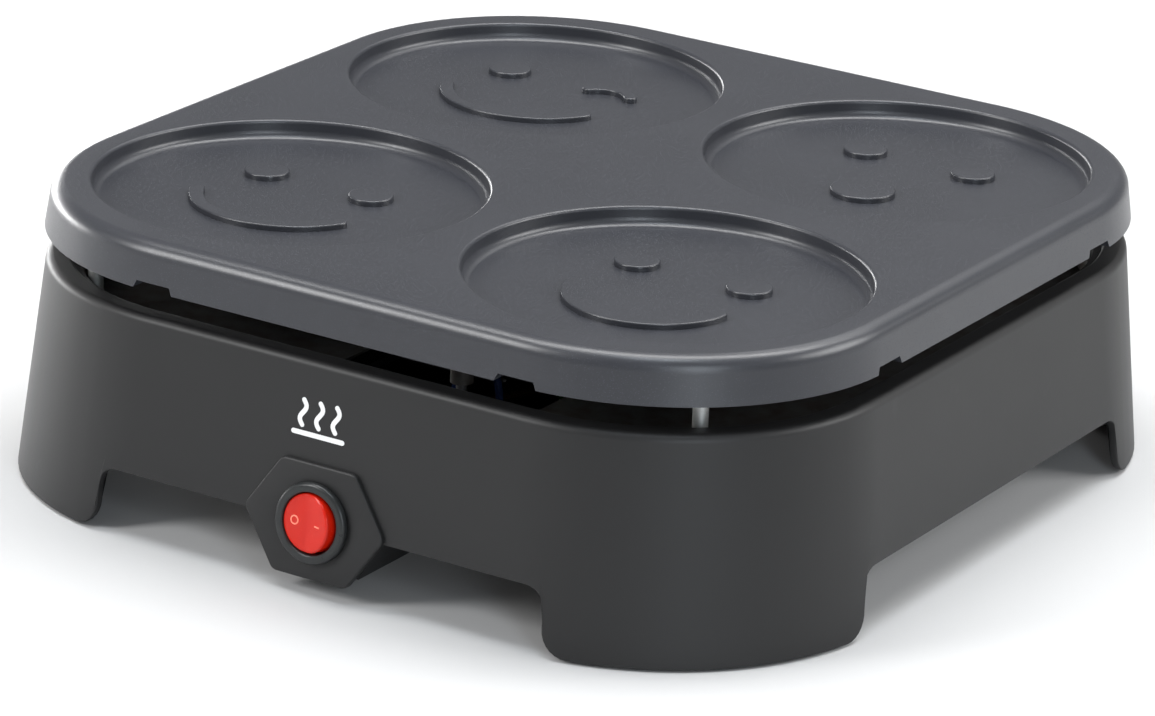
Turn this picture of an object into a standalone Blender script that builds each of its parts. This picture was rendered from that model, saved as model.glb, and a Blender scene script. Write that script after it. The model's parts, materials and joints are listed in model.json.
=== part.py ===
"""Four-well electric griddle: a square cooking plate on a moulded base, switched by a round rocker.

Metres, +Z up, -Y is the front with the switch. The origin is on the table, under the middle.
Run it with: blender --background --python part.py
"""

from math import atan2, cos, pi, radians, sin

import bmesh
import bpy
from mathutils import Matrix, Vector

MM = 0.001

# Driving dimensions, in millimetres.
GAP = 0.3                      # kept between pieces that touch
PLATE_X = 260.0                # cooking plate, side to side
PLATE_Y = 270.4                # cooking plate, front to back
PLATE_CORNER = 69.6
PLATE_SKIRT = 13.2             # depth of the plate's turned-down edge
PLATE_SKIRT_DRAFT = 1.3        # how far the skirt leans out at its foot
PLATE_SKIN = 4.0               # metal above the hollow underside
PLATE_EDGE_ROUND = 3.0
WELL_DEPTH = 5.6
EDGE_LAND = (10.9, 13.6)       # from a well to the plate's side and to its front or back
MIDDLE_LAND = (11.8, 16.8)     # between two wells
WELL_ROUND = 2.6               # fillet between a well's floor and its side
WELL_LIP = 0.4                 # bevel at a well's rim
RELIEF = 1.7                   # height of the raised faces in the wells
NOTCH_WIDTH = 11.0             # vent notches in the plate's skirt
NOTCH_HEIGHT = 2.1
NOTCH_X = 59.0
NOTCH_Y = 62.0
RIM_MARGIN = 0.2               # the base's rim stands this far outside the plate
RIM_CORNER_LESS = 1.0          # and its corners are this much tighter
FLARE = (7.0, 7.3)             # how far each wall leans out at the table
FLARE_CORNER = 5.3
BASE_TOP = 64.4
PLATE_CLEARANCE = 8.1          # air gap between the base's rim and the plate's skirt
BASE_WALL = 2.5
BASE_EDGE_ROUND = 2.4
FOOT_LIFT = 0.5                # the rubber pads hold the housing this far off the table
LEDGE = 7.0                    # width of the rim's flat ledge
RECESS_DEPTH = 19.9            # from the rim to the floor under the plate
RECESS_DRAFT = 2.0
ARCH_TOP = 19.1                # underside of the base between its feet
FOOT_SPAN = (63.9, 67.2)       # from a corner of the base to the arch beside it
ARCH_ROUND = 6.0
FOOT_ROUND = 8.0
PANEL_CENTRE = 20.5            # height of the switch
PANEL_HALF_WIDTH = 23.0
PANEL_HALF_HEIGHT = 16.2
PANEL_TOP_HALF = 12.0
PANEL_RISE = 1.5               # how far the switch panel stands off the wall
PANEL_ROUND = 3.0
SWITCH_HOLE = 20.0
BEZEL = 22.9
BEZEL_THICK = 1.9
SWITCH_BORE = 17.6
SWITCH_DEPTH = 20.0
ROCKER = 16.6
ROCKER_TILT = 10.0             # degrees either side of middle
ROCKER_VEE = 8.0               # degrees that each half of the rocker slopes to the middle
PIVOT_DEPTH = 2.2              # pivot below the bezel's face
ROCKER_PIN_DROP = 1.6          # the pivot pins sit this far under that
ROCKER_PIN_RADIUS = 0.8
ROCKER_PIN_REACH = 1.1         # past the button's side, into the bezel's sockets
ROCKER_RISE = 3.1              # the button's proud edge over the pivot's nominal height
ROCKER_SKIRT = 2.2             # and its foot under the pins
BLADE_PITCH = 5.6              # contact blades at the back of the switch
BLADE_HALF = (0.4, 3.15)
BLADE_REACH = (7.0, 3.0)       # behind the switch and inside it
POST_INSET = 12.4              # from the plate's corner, measured along the post's direction
POST_DIRECTION = 47.0          # degrees from the X axis, seen from the corner's middle
POST_RADIUS = 2.8
POST_BOSS_RADIUS = 5.5
SCREW_RADIUS = 1.45
SCREW_HEAD_RADIUS = 3.0
SCREW_HEAD = 2.2
HOLE_PLAY = 0.35               # around a screw's shank
REFLECTOR_LIFT = 4.4           # spacers under the reflector
SPACER_RADIUS = 3.7
REFLECTOR_SHEET = 0.8
REFLECTOR_RIM = 9.0
REFLECTOR_INSET = 1.0          # clear of the recess wall
ELEMENT_RADIUS = 3.25
ELEMENT_BEYOND = (12.5, 15.0)  # the loop runs this far outside the wells' middles
ELEMENT_CORNER = 44.0
CLAMP_REACH = 12.0             # from the element's centre line to the clamp's screw
CLAMP_OFFSET = 34.0            # along the element, from a well's middle
CLAMP_SHEET = 1.5
THERMOSTAT_BODY_RADIUS = 5.6
THERMOSTAT_SCREW_X = 14.0
BRACKET_SHEET = 1.0
BRACKET_DROP = 5.6             # from the plate's underside
FUSE_X = -4.0
FUSE_DROP = 15.7               # from the plate's underside
FUSE_HALF = 8.0
ELEMENT_BEND = 9.0
TERMINAL_X = (24.0, 5.0)       # where the element's two ends turn down
TERMINAL_A_FORWARD = 27.0
TERMINAL_RISE = 7.5            # from the reflector's sheet to the element's ends
PIN_RADIUS = 1.6               # cold pins at the element's ends
PIN_LENGTH = 6.5
WINDOW_X = (-22.0, 44.0)       # opening for the wires, and how far it runs either side of the loop
WINDOW_FORWARD = 36.0
WINDOW_BACK = 18.0
COVER_THICK = 2.0
COVER_BOTTOM = 20.4
BOX_HALF_WIDTH = 20.4          # switch box under the cover
BOX_FLOOR_HALF = 12.2
BOX_FLOOR = 5.4
BOX_WALL = 1.6
BOX_DEPTH = 42.4               # from the front wall
VENT_SLOT_LENGTH = 44.0
VENT_SLOT_WIDTH = 4.0
VENT_SLOT_ROWS = 4
VENT_SLOT_PITCH = 14.0
VENT_SLOT_FRONT = -20.0
VENT_SLOT_X = 38.0
COVER_SCREW_INSET = 42.8       # from the rim, both ways
PAD_RADIUS = 5.0
PAD_HEIGHT = 3.0
PAD_COLUMN_RADIUS = 7.0
PAD_COLUMN_TOP = 10.0
PAD_COLUMN_INSET = 1.8         # keeps the columns inside the leaning wall
GLAND_X = 60.0
GLAND_HEIGHT = 34.0
GLAND_HOLE = 12.0
GLAND_BORE = 7.4
WIRE_RADIUS = 1.2
BLOCK_SIZE = (30.0, 16.0, 12.0)
BLOCK_INSET = 35.4             # from the rim at the back
BLOCK_PITCH = 10.0

# Sizes that follow from them.
PLATE_TOP = BASE_TOP + PLATE_CLEARANCE + PLATE_SKIRT
PLATE_HALF = (PLATE_X / 2, PLATE_Y / 2)
WELL_RADIUS = min((half - edge - middle / 2) / 2
                  for half, edge, middle in zip(PLATE_HALF, EDGE_LAND, MIDDLE_LAND))
WELL_X, WELL_Y = (half - edge - WELL_RADIUS for half, edge in zip(PLATE_HALF, EDGE_LAND))
SKIRT_FOOT = PLATE_TOP - PLATE_SKIRT
WELL_FLOOR = PLATE_TOP - WELL_DEPTH
CUP_BOTTOM = WELL_FLOOR - PLATE_SKIN
SKIN_BOTTOM = PLATE_TOP - PLATE_SKIN
WELLS = [(sx * WELL_X, sy * WELL_Y) for sy in (-1, 1) for sx in (-1, 1)]
CORNERS = ((-1, -1), (1, -1), (-1, 1), (1, 1))
TOP_HALF = [half + RIM_MARGIN for half in PLATE_HALF]
FOOT_HALF = [half + flare for half, flare in zip(TOP_HALF, FLARE)]
BASE_TOP_CORNER = PLATE_CORNER - RIM_CORNER_LESS
BASE_FOOT_CORNER = BASE_TOP_CORNER + FLARE_CORNER
ARCH_HALF = [half - span for half, span in zip(FOOT_HALF, FOOT_SPAN)]
POST_REACH = PLATE_CORNER - POST_INSET
POST_X = PLATE_HALF[0] - PLATE_CORNER + POST_REACH * cos(radians(POST_DIRECTION))
POST_Y = PLATE_HALF[1] - PLATE_CORNER + POST_REACH * sin(radians(POST_DIRECTION))
COVER_SCREW_X, COVER_SCREW_Y = (half - COVER_SCREW_INSET for half in TOP_HALF)
ELEMENT_HALF_X = WELL_X + ELEMENT_BEYOND[0]
ELEMENT_HALF_Y = WELL_Y + ELEMENT_BEYOND[1]
TERMINAL_A = (TERMINAL_X[0], -ELEMENT_HALF_Y - TERMINAL_A_FORWARD)
TERMINAL_B = (TERMINAL_X[1], -ELEMENT_HALF_Y)
FUSE = (FUSE_X, -ELEMENT_HALF_Y / 2, SKIN_BOTTOM - FUSE_DROP)
WINDOW_FRONT_Y = -ELEMENT_HALF_Y - WINDOW_FORWARD
WINDOW_BACK_Y = -ELEMENT_HALF_Y + WINDOW_BACK
LEAN_FRONT = atan2(FLARE[1], BASE_TOP)
RECESS_FLOOR = BASE_TOP - RECESS_DEPTH
RECESS_BOTTOM = RECESS_FLOOR - BASE_WALL
REFLECTOR_BOTTOM = RECESS_FLOOR + GAP + REFLECTOR_LIFT + GAP
TERMINAL_END = REFLECTOR_BOTTOM + TERMINAL_RISE
POST_BOTTOM = REFLECTOR_BOTTOM + REFLECTOR_SHEET + GAP
BOSS_BOTTOM = SKIRT_FOOT - 1.0
POST_TOP = BOSS_BOTTOM - GAP
ELEMENT_Z = CUP_BOTTOM - GAP - ELEMENT_RADIUS
HOLE_RADIUS = SCREW_RADIUS + HOLE_PLAY
BRACKET_TOP = SKIN_BOTTOM - BRACKET_DROP
BLOCK_CENTRE = (GLAND_X, TOP_HALF[1] - BLOCK_INSET)
CORNER_STEPS = 8


def clear_scene():
    for obj in list(bpy.data.objects):
        bpy.data.objects.remove(obj, do_unlink=True)


def new_collection(name, hidden=False):
    made = bpy.data.collections.new(name)
    made.hide_render = hidden
    bpy.context.scene.collection.children.link(made)
    return made


def material(name, colour, roughness, metallic=0.0):
    made = bpy.data.materials.new(name)
    made.use_nodes = True
    shader = made.node_tree.nodes["Principled BSDF"]
    shader.inputs["Base Color"].default_value = (*colour, 1.0)
    shader.inputs["Roughness"].default_value = roughness
    shader.inputs["Metallic"].default_value = metallic
    made.diffuse_color = (*colour, 1.0)
    return made


def add(name, mesh, finish=None, at=(0, 0, 0), turn=(0, 0, 0), parent=None):
    """A visible piece, or a cutter if it has no finish, with its place in millimetres."""
    obj = bpy.data.objects.new(name, mesh)
    (PIECES if finish else CUTTERS).objects.link(obj)
    obj.location = Vector(at) * MM
    obj.rotation_euler = turn
    obj.parent = parent
    if finish:
        mesh.materials.append(finish)
        mesh.shade_smooth()
        mesh.set_sharp_from_angle(angle=radians(32))
    else:
        obj.hide_render = True
        obj.display_type = "WIRE"
    return obj


def boolean(target, tool, operation="DIFFERENCE"):
    modifier = target.modifiers.new(f"{operation.lower()} {tool.name}", "BOOLEAN")
    modifier.operation = operation
    modifier.solver = "EXACT"
    modifier.object = tool


def mesh_from(bm, name):
    bmesh.ops.scale(bm, vec=(MM, MM, MM), verts=bm.verts)
    mesh = bpy.data.meshes.new(name)
    bm.to_mesh(mesh)
    bm.free()
    return mesh


def block(name, low, high, finish=None, parent=None, soften=0.0):
    """A box between two corners, with its edges softened by a Bevel."""
    bm = bmesh.new()
    bmesh.ops.create_cube(bm, size=1.0)
    size = [b - a for a, b in zip(low, high)]
    bmesh.ops.scale(bm, vec=size, verts=bm.verts)
    centre = [(a + b) / 2 for a, b in zip(low, high)]
    obj = add(name, mesh_from(bm, name), finish, centre, parent=parent)
    if soften:
        bevel = obj.modifiers.new("soften", "BEVEL")
        bevel.width = soften * MM
        bevel.segments = 2
    return obj


def rod(name, radius, bottom, top, at=(0, 0), finish=None, parent=None, sides=20):
    bm = bmesh.new()
    depth = top - bottom
    bmesh.ops.create_cone(bm, cap_ends=True, segments=sides, radius1=radius, radius2=radius, depth=depth)
    return add(name, mesh_from(bm, name), finish, (*at, (bottom + top) / 2), parent=parent)


def turned(name, profile, finish=None, at=(0, 0, 0), turn=(0, 0, 0), parent=None, steps=20, ring=False):
    """A profile of (radius, height) points, top to bottom down its outer side, turned about Z."""
    bm = bmesh.new()
    points = [bm.verts.new((radius, 0, height)) for radius, height in profile]
    for a, b in zip(points, points[1:]):
        bm.edges.new((a, b))
    if ring:
        bm.edges.new((points[-1], points[0]))
    obj = add(name, mesh_from(bm, name), finish, at, turn, parent)
    screw = obj.modifiers.new("turn", "SCREW")
    screw.steps = screw.render_steps = steps
    screw.use_merge_vertices = True
    screw.merge_threshold = 0.00001
    return obj


def sleeve(name, outer, inner, bottom, top, at, finish):
    profile = [(outer, top), (outer, bottom), (inner, bottom), (inner, top)]
    return turned(name, profile, finish, (*at, 0), ring=True, steps=16)


def pan_screw(name, bottom, top, at, finish, parent=None, turn=(0, 0, 0)):
    """A screw standing on its head, with the head's underside facing up."""
    profile = [
        (0, top),
        (SCREW_RADIUS * 0.6, top),
        (SCREW_RADIUS, top - SCREW_RADIUS),
        (SCREW_RADIUS, bottom + SCREW_HEAD),
        (SCREW_HEAD_RADIUS, bottom + SCREW_HEAD),
        (SCREW_HEAD_RADIUS, bottom + SCREW_HEAD * 0.4),
        (SCREW_HEAD_RADIUS * 0.6, bottom),
        (0, bottom),
    ]
    place = (*at, 0) if len(at) == 2 else at
    return turned(name, profile, finish, place, turn, parent, steps=12)


def arc(centre, radius, start, end, steps):
    """Points of an arc in the plane, angles in degrees."""
    span = [radians(start + (end - start) * i / steps) for i in range(steps + 1)]
    return [(centre[0] + radius * cos(a), centre[1] + radius * sin(a)) for a in span]


def rounded_rectangle(half_x, half_y, corner, steps=CORNER_STEPS):
    points = []
    for quarter, (sx, sy) in enumerate(((1, 1), (-1, 1), (-1, -1), (1, -1))):
        centre = (sx * (half_x - corner), sy * (half_y - corner))
        points += arc(centre, corner, 90 * quarter, 90 * quarter + 90, steps)
    return points


def rounded_polygon(corners, radii, steps=3):
    """A polygon with each corner replaced by an arc of its own radius."""
    points = []
    count = len(corners)
    for i, corner in enumerate(corners):
        here = Vector(corner)
        to_last = (Vector(corners[i - 1]) - here).normalized()
        to_next = (Vector(corners[(i + 1) % count]) - here).normalized()
        if not radii[i]:
            points.append(tuple(here))
            continue
        half = to_last.angle(to_next) / 2
        middle = (to_last + to_next).normalized()
        centre = here + middle * radii[i] / sin(half)
        first = here + to_last * radii[i] * cos(half) / sin(half) - centre
        last = here + to_next * radii[i] * cos(half) / sin(half) - centre
        sweep = first.angle_signed(last)
        for step in range(steps + 1):
            points.append(tuple(centre + Matrix.Rotation(-sweep * step / steps, 2) @ first))
    return points


def lofted(name, rings, finish=None, close_bottom=True, close_top=True):
    """Rings of equal point counts, each a list of points and a height, joined bottom to top."""
    bm = bmesh.new()
    loops = [[bm.verts.new((x, y, height)) for x, y in points] for points, height in rings]
    for low, high in zip(loops, loops[1:]):
        count = len(low)
        for i in range(count):
            j = (i + 1) % count
            bm.faces.new((low[i], low[j], high[j], high[i]))
    if close_bottom:
        bm.faces.new(list(reversed(loops[0])))
    if close_top:
        bm.faces.new(loops[-1])
    return add(name, mesh_from(bm, name), finish)


def flat(name, outlines, bottom, top, finish=None, at=(0, 0, 0), turn=(0, 0, 0), parent=None):
    """A flat piece cut to its outlines, the later ones being holes, as a filled 2D curve made a mesh."""
    curve = bpy.data.curves.new(name, "CURVE")
    curve.dimensions = "2D"
    curve.fill_mode = "BOTH"
    curve.extrude = (top - bottom) / 2 * MM
    for outline in outlines:
        spline = curve.splines.new("POLY")
        spline.points.add(len(outline) - 1)
        spline.use_cyclic_u = True
        for point, (x, y) in zip(spline.points, outline):
            point.co = (x * MM, y * MM, 0, 1)
    return add(name, mesh_of_curve(curve, (bottom + top) / 2 * MM), finish, at, turn, parent)


def mesh_of_curve(curve, lift=0.0):
    """The curve's solid as a mesh with its caps welded on."""
    guide = bpy.data.objects.new("guide", curve)
    bpy.context.scene.collection.objects.link(guide)
    bpy.context.view_layer.update()
    graph = bpy.context.evaluated_depsgraph_get()
    mesh = bpy.data.meshes.new_from_object(guide.evaluated_get(graph))
    bpy.data.objects.remove(guide, do_unlink=True)
    bm = bmesh.new()
    bm.from_mesh(mesh)
    bmesh.ops.remove_doubles(bm, verts=bm.verts, dist=0.000002)
    bmesh.ops.translate(bm, vec=(0, 0, lift), verts=bm.verts)
    bmesh.ops.recalc_face_normals(bm, faces=bm.faces)
    bm.to_mesh(mesh)
    bm.free()
    mesh.materials.clear()
    return mesh


def wire(name, points, radius, finish, sides=2):
    """A round wire or tube along points, as a curve object with filled caps."""
    curve = bpy.data.curves.new(name, "CURVE")
    curve.dimensions = "3D"
    curve.bevel_depth = radius * MM
    curve.bevel_resolution = sides
    curve.use_fill_caps = True
    ends = [Vector(points[i]).lerp(Vector(points[j]), 0.1) for i, j in ((0, 1), (-1, -2))]
    route = [points[0], ends[0], *points[1:-1], ends[1], points[-1]]
    spline = curve.splines.new("POLY")
    spline.points.add(len(route) - 1)
    for point, place in zip(spline.points, route):
        point.co = (*(Vector(place) * MM), 1)
    curve.materials.append(finish)
    obj = bpy.data.objects.new(name, curve)
    PIECES.objects.link(obj)
    return obj


def smooth_route(points, spacing):
    """Points about that far apart on a smooth curve through the given ones."""
    known = [Vector(p) for p in points]
    ends = [2 * known[0] - known[1], *known, 2 * known[-1] - known[-2]]
    route = []
    for a, b, c, d in zip(ends, ends[1:], ends[2:], ends[3:]):
        steps = max(1, round((c - b).length / spacing))
        for step in range(steps):
            t = step / steps
            route.append(0.5 * (2 * b + (c - a) * t + (2 * a - 5 * b + 4 * c - d) * t**2
                                + (3 * b - a - 3 * c + d) * t**3))
    return [tuple(p) for p in [*route, known[-1]]]


def bent_route(corners, radii, steps=5):
    """A route with straight runs between corners and a round bend at each inner corner."""
    route = [Vector(corners[0])]
    for before, corner, after, radius in zip(corners, corners[1:], corners[2:], radii):
        here = Vector(corner)
        back = (Vector(before) - here).normalized()
        on = (Vector(after) - here).normalized()
        half = back.angle(on) / 2
        centre = here + (back + on).normalized() * radius / sin(half)
        reach = radius * cos(half) / sin(half)
        first = (here + back * reach - centre).normalized()
        last = (here + on * reach - centre).normalized()
        route += [centre + first.slerp(last, i / steps) * radius for i in range(steps + 1)]
    return [tuple(p) for p in [*route, Vector(corners[-1])]]


def base_ring(height, inset=0.0):
    """The base's outer outline at a height, moved in by an inset."""
    share = 1 - height / BASE_TOP
    corner = BASE_TOP_CORNER + (BASE_FOOT_CORNER - BASE_TOP_CORNER) * share
    half = [top + flare * share for top, flare in zip(TOP_HALF, FLARE)]
    return rounded_rectangle(half[0] - inset, half[1] - inset, corner - inset)


def front_wall(height):
    """How far forward the base's front face is at a height."""
    return -(TOP_HALF[1] + FLARE[1] * (1 - height / BASE_TOP))


def box_back():
    return front_wall(PANEL_CENTRE) + BOX_DEPTH


def arch_outline(half):
    """The opening between two feet, seen from the front: round at its top and at the feet's toes."""
    foot = FOOT_LIFT
    side = arc((half + FOOT_ROUND, foot + FOOT_ROUND), FOOT_ROUND, 270, 180, 5)
    top = arc((half - ARCH_ROUND, ARCH_TOP - ARCH_ROUND), ARCH_ROUND, 0, 90, 4)
    right = [(half + FOOT_ROUND, -foot - 1), *side, *top]
    return right + [(-x, z) for x, z in reversed(right)]


def make_base_housing(finish):
    edge = BASE_EDGE_ROUND
    rings = [(base_ring(FOOT_LIFT), FOOT_LIFT), (base_ring(BASE_TOP - edge), BASE_TOP - edge)]
    for angle in (30, 60, 90):
        rise = edge * (1 - sin(radians(angle)))
        rings.append((base_ring(BASE_TOP - rise, edge * (1 - cos(radians(angle)))), BASE_TOP - rise))
    rings.append((base_ring(BASE_TOP, LEDGE - 1), BASE_TOP))
    rings.append((base_ring(BASE_TOP, LEDGE), BASE_TOP - 1))
    rings.append((base_ring(BASE_TOP, LEDGE + RECESS_DRAFT), RECESS_FLOOR))
    housing = lofted("base_housing", rings, finish, close_bottom=False)
    shell = housing.modifiers.new("wall", "SOLIDIFY")
    shell.thickness = BASE_WALL * MM
    shell.use_even_offset = True

    long_way = 2 * TOP_HALF[1] + 60
    for name, half, turn in (("front", ARCH_HALF[0], 0), ("side", ARCH_HALF[1], pi / 2)):
        cutter = flat(f"cut_{name}_arches", [arch_outline(half)], -long_way / 2, long_way / 2)
        cutter.rotation_euler = (pi / 2, 0, turn)
        boolean(housing, cutter)

    panel = flat("join_switch_panel", [panel_outline()], -BASE_WALL, PANEL_RISE, parent=SWITCH_FRAME)
    boolean(housing, panel, "UNION")
    for i, (sx, sy) in enumerate(CORNERS, 1):
        x, y = pad_centre(sx, sy)
        column = rod(f"join_foot_column_{i}", PAD_COLUMN_RADIUS, FOOT_LIFT + 1, PAD_COLUMN_TOP, (x, y))
        boolean(housing, column, "UNION")
        boolean(housing, rod(f"cut_pad_seat_{i}", PAD_RADIUS + GAP, 0, PAD_HEIGHT + GAP, (x, y)))
        at = (sx * COVER_SCREW_X, sy * COVER_SCREW_Y)
        tower_foot = COVER_BOTTOM + COVER_THICK + GAP
        tower = rod(f"join_screw_tower_{i}", 4.0, tower_foot, RECESS_BOTTOM + 0.5, at, sides=12)
        boolean(housing, tower, "UNION")
        hole_top = COVER_BOTTOM + 14
        boolean(housing, rod(f"cut_tower_hole_{i}", HOLE_RADIUS, COVER_BOTTOM, hole_top, at, sides=12))
        at = (sx * POST_X, sy * POST_Y)
        hole = rod(f"cut_post_hole_{i}", HOLE_RADIUS, RECESS_BOTTOM - 2, RECESS_FLOOR + 2, at, sides=12)
        boolean(housing, hole)
    boolean(housing, window_cutter("cut_floor_window", RECESS_BOTTOM - 2, RECESS_FLOOR + 2))
    hole = turned("cut_switch_hole", [(0, 9), (SWITCH_HOLE / 2, 9), (SWITCH_HOLE / 2, -9), (0, -9)],
                  parent=SWITCH_FRAME, steps=28)
    boolean(housing, hole)
    gland = turned("cut_gland_hole", [(0, 9), (GLAND_HOLE / 2, 9), (GLAND_HOLE / 2, -9), (0, -9)],
                   parent=GLAND_FRAME, steps=20)
    boolean(housing, gland)


def panel_outline():
    wide, high, top = PANEL_HALF_WIDTH, PANEL_HALF_HEIGHT, PANEL_TOP_HALF
    corners = [(-top, high), (-wide, 0), (-top, -high), (top, -high), (wide, 0), (top, high)]
    return rounded_polygon(corners, [PANEL_ROUND] * 6)


def pad_centre(sx, sy):
    """The middle of a rubber pad, inside the corner of a foot."""
    reach = BASE_FOOT_CORNER - PAD_COLUMN_INSET - PAD_COLUMN_RADIUS
    centre = [half - BASE_FOOT_CORNER for half in FOOT_HALF]
    return sx * (centre[0] + reach * cos(pi / 4)), sy * (centre[1] + reach * sin(pi / 4))


def window_cutter(name, bottom, top, shrink=0.0):
    left, right = WINDOW_X
    low = (left + shrink, WINDOW_FRONT_Y + shrink, bottom)
    return block(name, low, (right - shrink, WINDOW_BACK_Y - shrink, top))


def well_cutter(name, at):
    rim = PLATE_TOP + 1
    fillet = arc((WELL_RADIUS - WELL_ROUND, WELL_FLOOR + WELL_ROUND), WELL_ROUND, 0, -90, 3)
    lip = WELL_RADIUS + WELL_LIP
    profile = [(0, rim), (lip, rim), (lip, PLATE_TOP - WELL_LIP), *fillet, (0, WELL_FLOOR)]
    return turned(name, profile, at=(*at, 0), steps=44)


def arc_band(centre, radius, width, start, end, steps=8):
    """The outline of a curved strip with round ends."""
    outer = arc(centre, radius + width / 2, start, end, steps)
    inner = arc(centre, radius - width / 2, end, start, steps)
    ends = []
    for angle, first in ((end, end), (start, start + 180)):
        middle = (centre[0] + radius * cos(radians(angle)), centre[1] + radius * sin(radians(angle)))
        ends.append(arc(middle, width / 2, first, first + 180, 4)[1:-1])
    return outer + ends[0] + inner + ends[1]


def round_eye(x):
    return arc((x, 14), 6.5, 0, 360, 14)[:-1]


def face_outlines(kind):
    """The raised strips and discs of one well's face, around its middle."""
    wink = arc_band((19, 7), 9, 4, 35, 145, 5)
    smile = arc_band((0, 0), 27, 4.4, 205, 335)
    grin = rounded_polygon([(-25, -8), *arc((0, -8), 25, 200, 340, 8), (25, -8)], [2] + [0] * 9 + [2])
    open_mouth = arc((0, -20), 9.5, 0, 360, 16)[:-1]
    return {
        "smile": [round_eye(-18), round_eye(18), smile],
        "wink": [round_eye(-18), wink, smile],
        "grin": [round_eye(-18), round_eye(18), grin],
        "surprise": [round_eye(-18), round_eye(18), open_mouth],
    }[kind]


def make_cooking_plate(finish):
    half_x, half_y = PLATE_HALF
    draft = PLATE_SKIRT_DRAFT
    foot = rounded_rectangle(half_x + draft, half_y + draft, PLATE_CORNER + draft)
    rings = [(foot, SKIRT_FOOT)]
    for angle in (0, 30, 60, 90):
        inset = PLATE_EDGE_ROUND * (1 - cos(radians(angle)))
        height = PLATE_TOP - PLATE_EDGE_ROUND * (1 - sin(radians(angle)))
        rings.append((rounded_rectangle(half_x - inset, half_y - inset, PLATE_CORNER - inset), height))
    plate = lofted("cooking_plate", rings, finish)

    wall = PLATE_SKIN
    hollow_ring = rounded_rectangle(half_x - wall, half_y - wall, PLATE_CORNER - wall)
    hollow = lofted("cut_underside", [(hollow_ring, SKIRT_FOOT - 2), (hollow_ring, SKIN_BOTTOM)])
    for i, at in enumerate(WELLS, 1):
        boolean(hollow, rod(f"keep_cup_{i}", WELL_RADIUS + wall, CUP_BOTTOM, PLATE_TOP, at, sides=40))
    boolean(plate, hollow)
    for i, (sx, sy) in enumerate(CORNERS, 1):
        at = (sx * POST_X, sy * POST_Y)
        boss = rod(f"join_post_boss_{i}", POST_BOSS_RADIUS, BOSS_BOTTOM, CUP_BOTTOM + 1, at, sides=16)
        boolean(plate, boss, "UNION")
        thread = rod(f"cut_post_thread_{i}", HOLE_RADIUS, BOSS_BOTTOM - 2, WELL_FLOOR - 2, at, sides=12)
        boolean(plate, thread)
    for i, (x, y) in enumerate(clamp_screws(), 1):
        boss = rod(f"join_clamp_boss_{i}", 4.5, clamp_top() + GAP, CUP_BOTTOM + 5, (x, y), sides=12)
        boolean(plate, boss, "UNION")
        thread = rod(f"cut_clamp_thread_{i}", HOLE_RADIUS, clamp_top() - 2, CUP_BOTTOM + 1, (x, y), sides=12)
        boolean(plate, thread)
    for i, x in enumerate((-THERMOSTAT_SCREW_X, THERMOSTAT_SCREW_X), 1):
        boss = rod(f"join_thermostat_boss_{i}", 3.6, BRACKET_TOP + GAP, SKIN_BOTTOM + 1, (x, 0), sides=12)
        boolean(plate, boss, "UNION")
        end = SKIN_BOTTOM + 1.5
        boolean(plate, rod(f"cut_thermostat_thread_{i}", HOLE_RADIUS, BRACKET_TOP - 2, end, (x, 0), sides=12))
    for i, (at, kind) in enumerate(zip(WELLS, ("smile", "grin", "wink", "surprise")), 1):
        boolean(plate, well_cutter(f"cut_well_{i}", at))
        for j, outline in enumerate(face_outlines(kind), 1):
            strip = flat(f"join_relief_{i}_{j}", [outline], WELL_FLOOR - 1, WELL_FLOOR + RELIEF, at=(*at, 0))
            boolean(plate, strip, "UNION")
    reach = max(PLATE_HALF) * 2 + 20
    notches = ((-NOTCH_X, 0), (NOTCH_X, 0), (-NOTCH_Y, pi / 2), (NOTCH_Y, pi / 2))
    for i, (place, turn) in enumerate(notches, 1):
        slope = NOTCH_HEIGHT * 0.7
        half = NOTCH_WIDTH / 2
        outline = [(place - half - slope, SKIRT_FOOT - 1), (place + half + slope, SKIRT_FOOT - 1),
                   (place + half, SKIRT_FOOT + NOTCH_HEIGHT), (place - half, SKIRT_FOOT + NOTCH_HEIGHT)]
        cutter = flat(f"cut_skirt_notch_{i}", [outline], -reach / 2, reach / 2)
        cutter.rotation_euler = (pi / 2, 0, turn)
        boolean(plate, cutter)


def clamp_places():
    """Where each strip crosses the element, and the direction towards the middle of the plate."""
    beside, across = WELL_Y - CLAMP_OFFSET, WELL_X - CLAMP_OFFSET
    return [((-ELEMENT_HALF_X, beside), (1, 0)), ((ELEMENT_HALF_X, beside), (-1, 0)),
            ((across, ELEMENT_HALF_Y), (0, -1))]


def clamp_screws():
    return [(x + dx * CLAMP_REACH, y + dy * CLAMP_REACH) for (x, y), (dx, dy) in clamp_places()]


def clamp_top():
    return ELEMENT_Z - ELEMENT_RADIUS - GAP


def make_clamps(steel, screw_steel):
    top = clamp_top()
    for i, ((x, y), (dx, dy)) in enumerate(clamp_places(), 1):
        low, high = -ELEMENT_RADIUS - 3, CLAMP_REACH + 6
        outline = rounded_polygon([(low, -6), (high, -6), (high, 6), (low, 6)], [3] * 4)
        hole = arc((CLAMP_REACH, 0), HOLE_RADIUS, 0, 360, 12)[:-1]
        strip = flat(f"element_clamp_{i}", [outline, hole], top - CLAMP_SHEET, top, steel, at=(x, y, 0))
        strip.rotation_euler = (0, 0, atan2(dy, dx))
        at = (x + dx * CLAMP_REACH, y + dy * CLAMP_REACH)
        bottom = top - CLAMP_SHEET - GAP - SCREW_HEAD
        pan_screw(f"clamp_screw_{i}", bottom, CUP_BOTTOM + 0.6, at, screw_steel)


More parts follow.
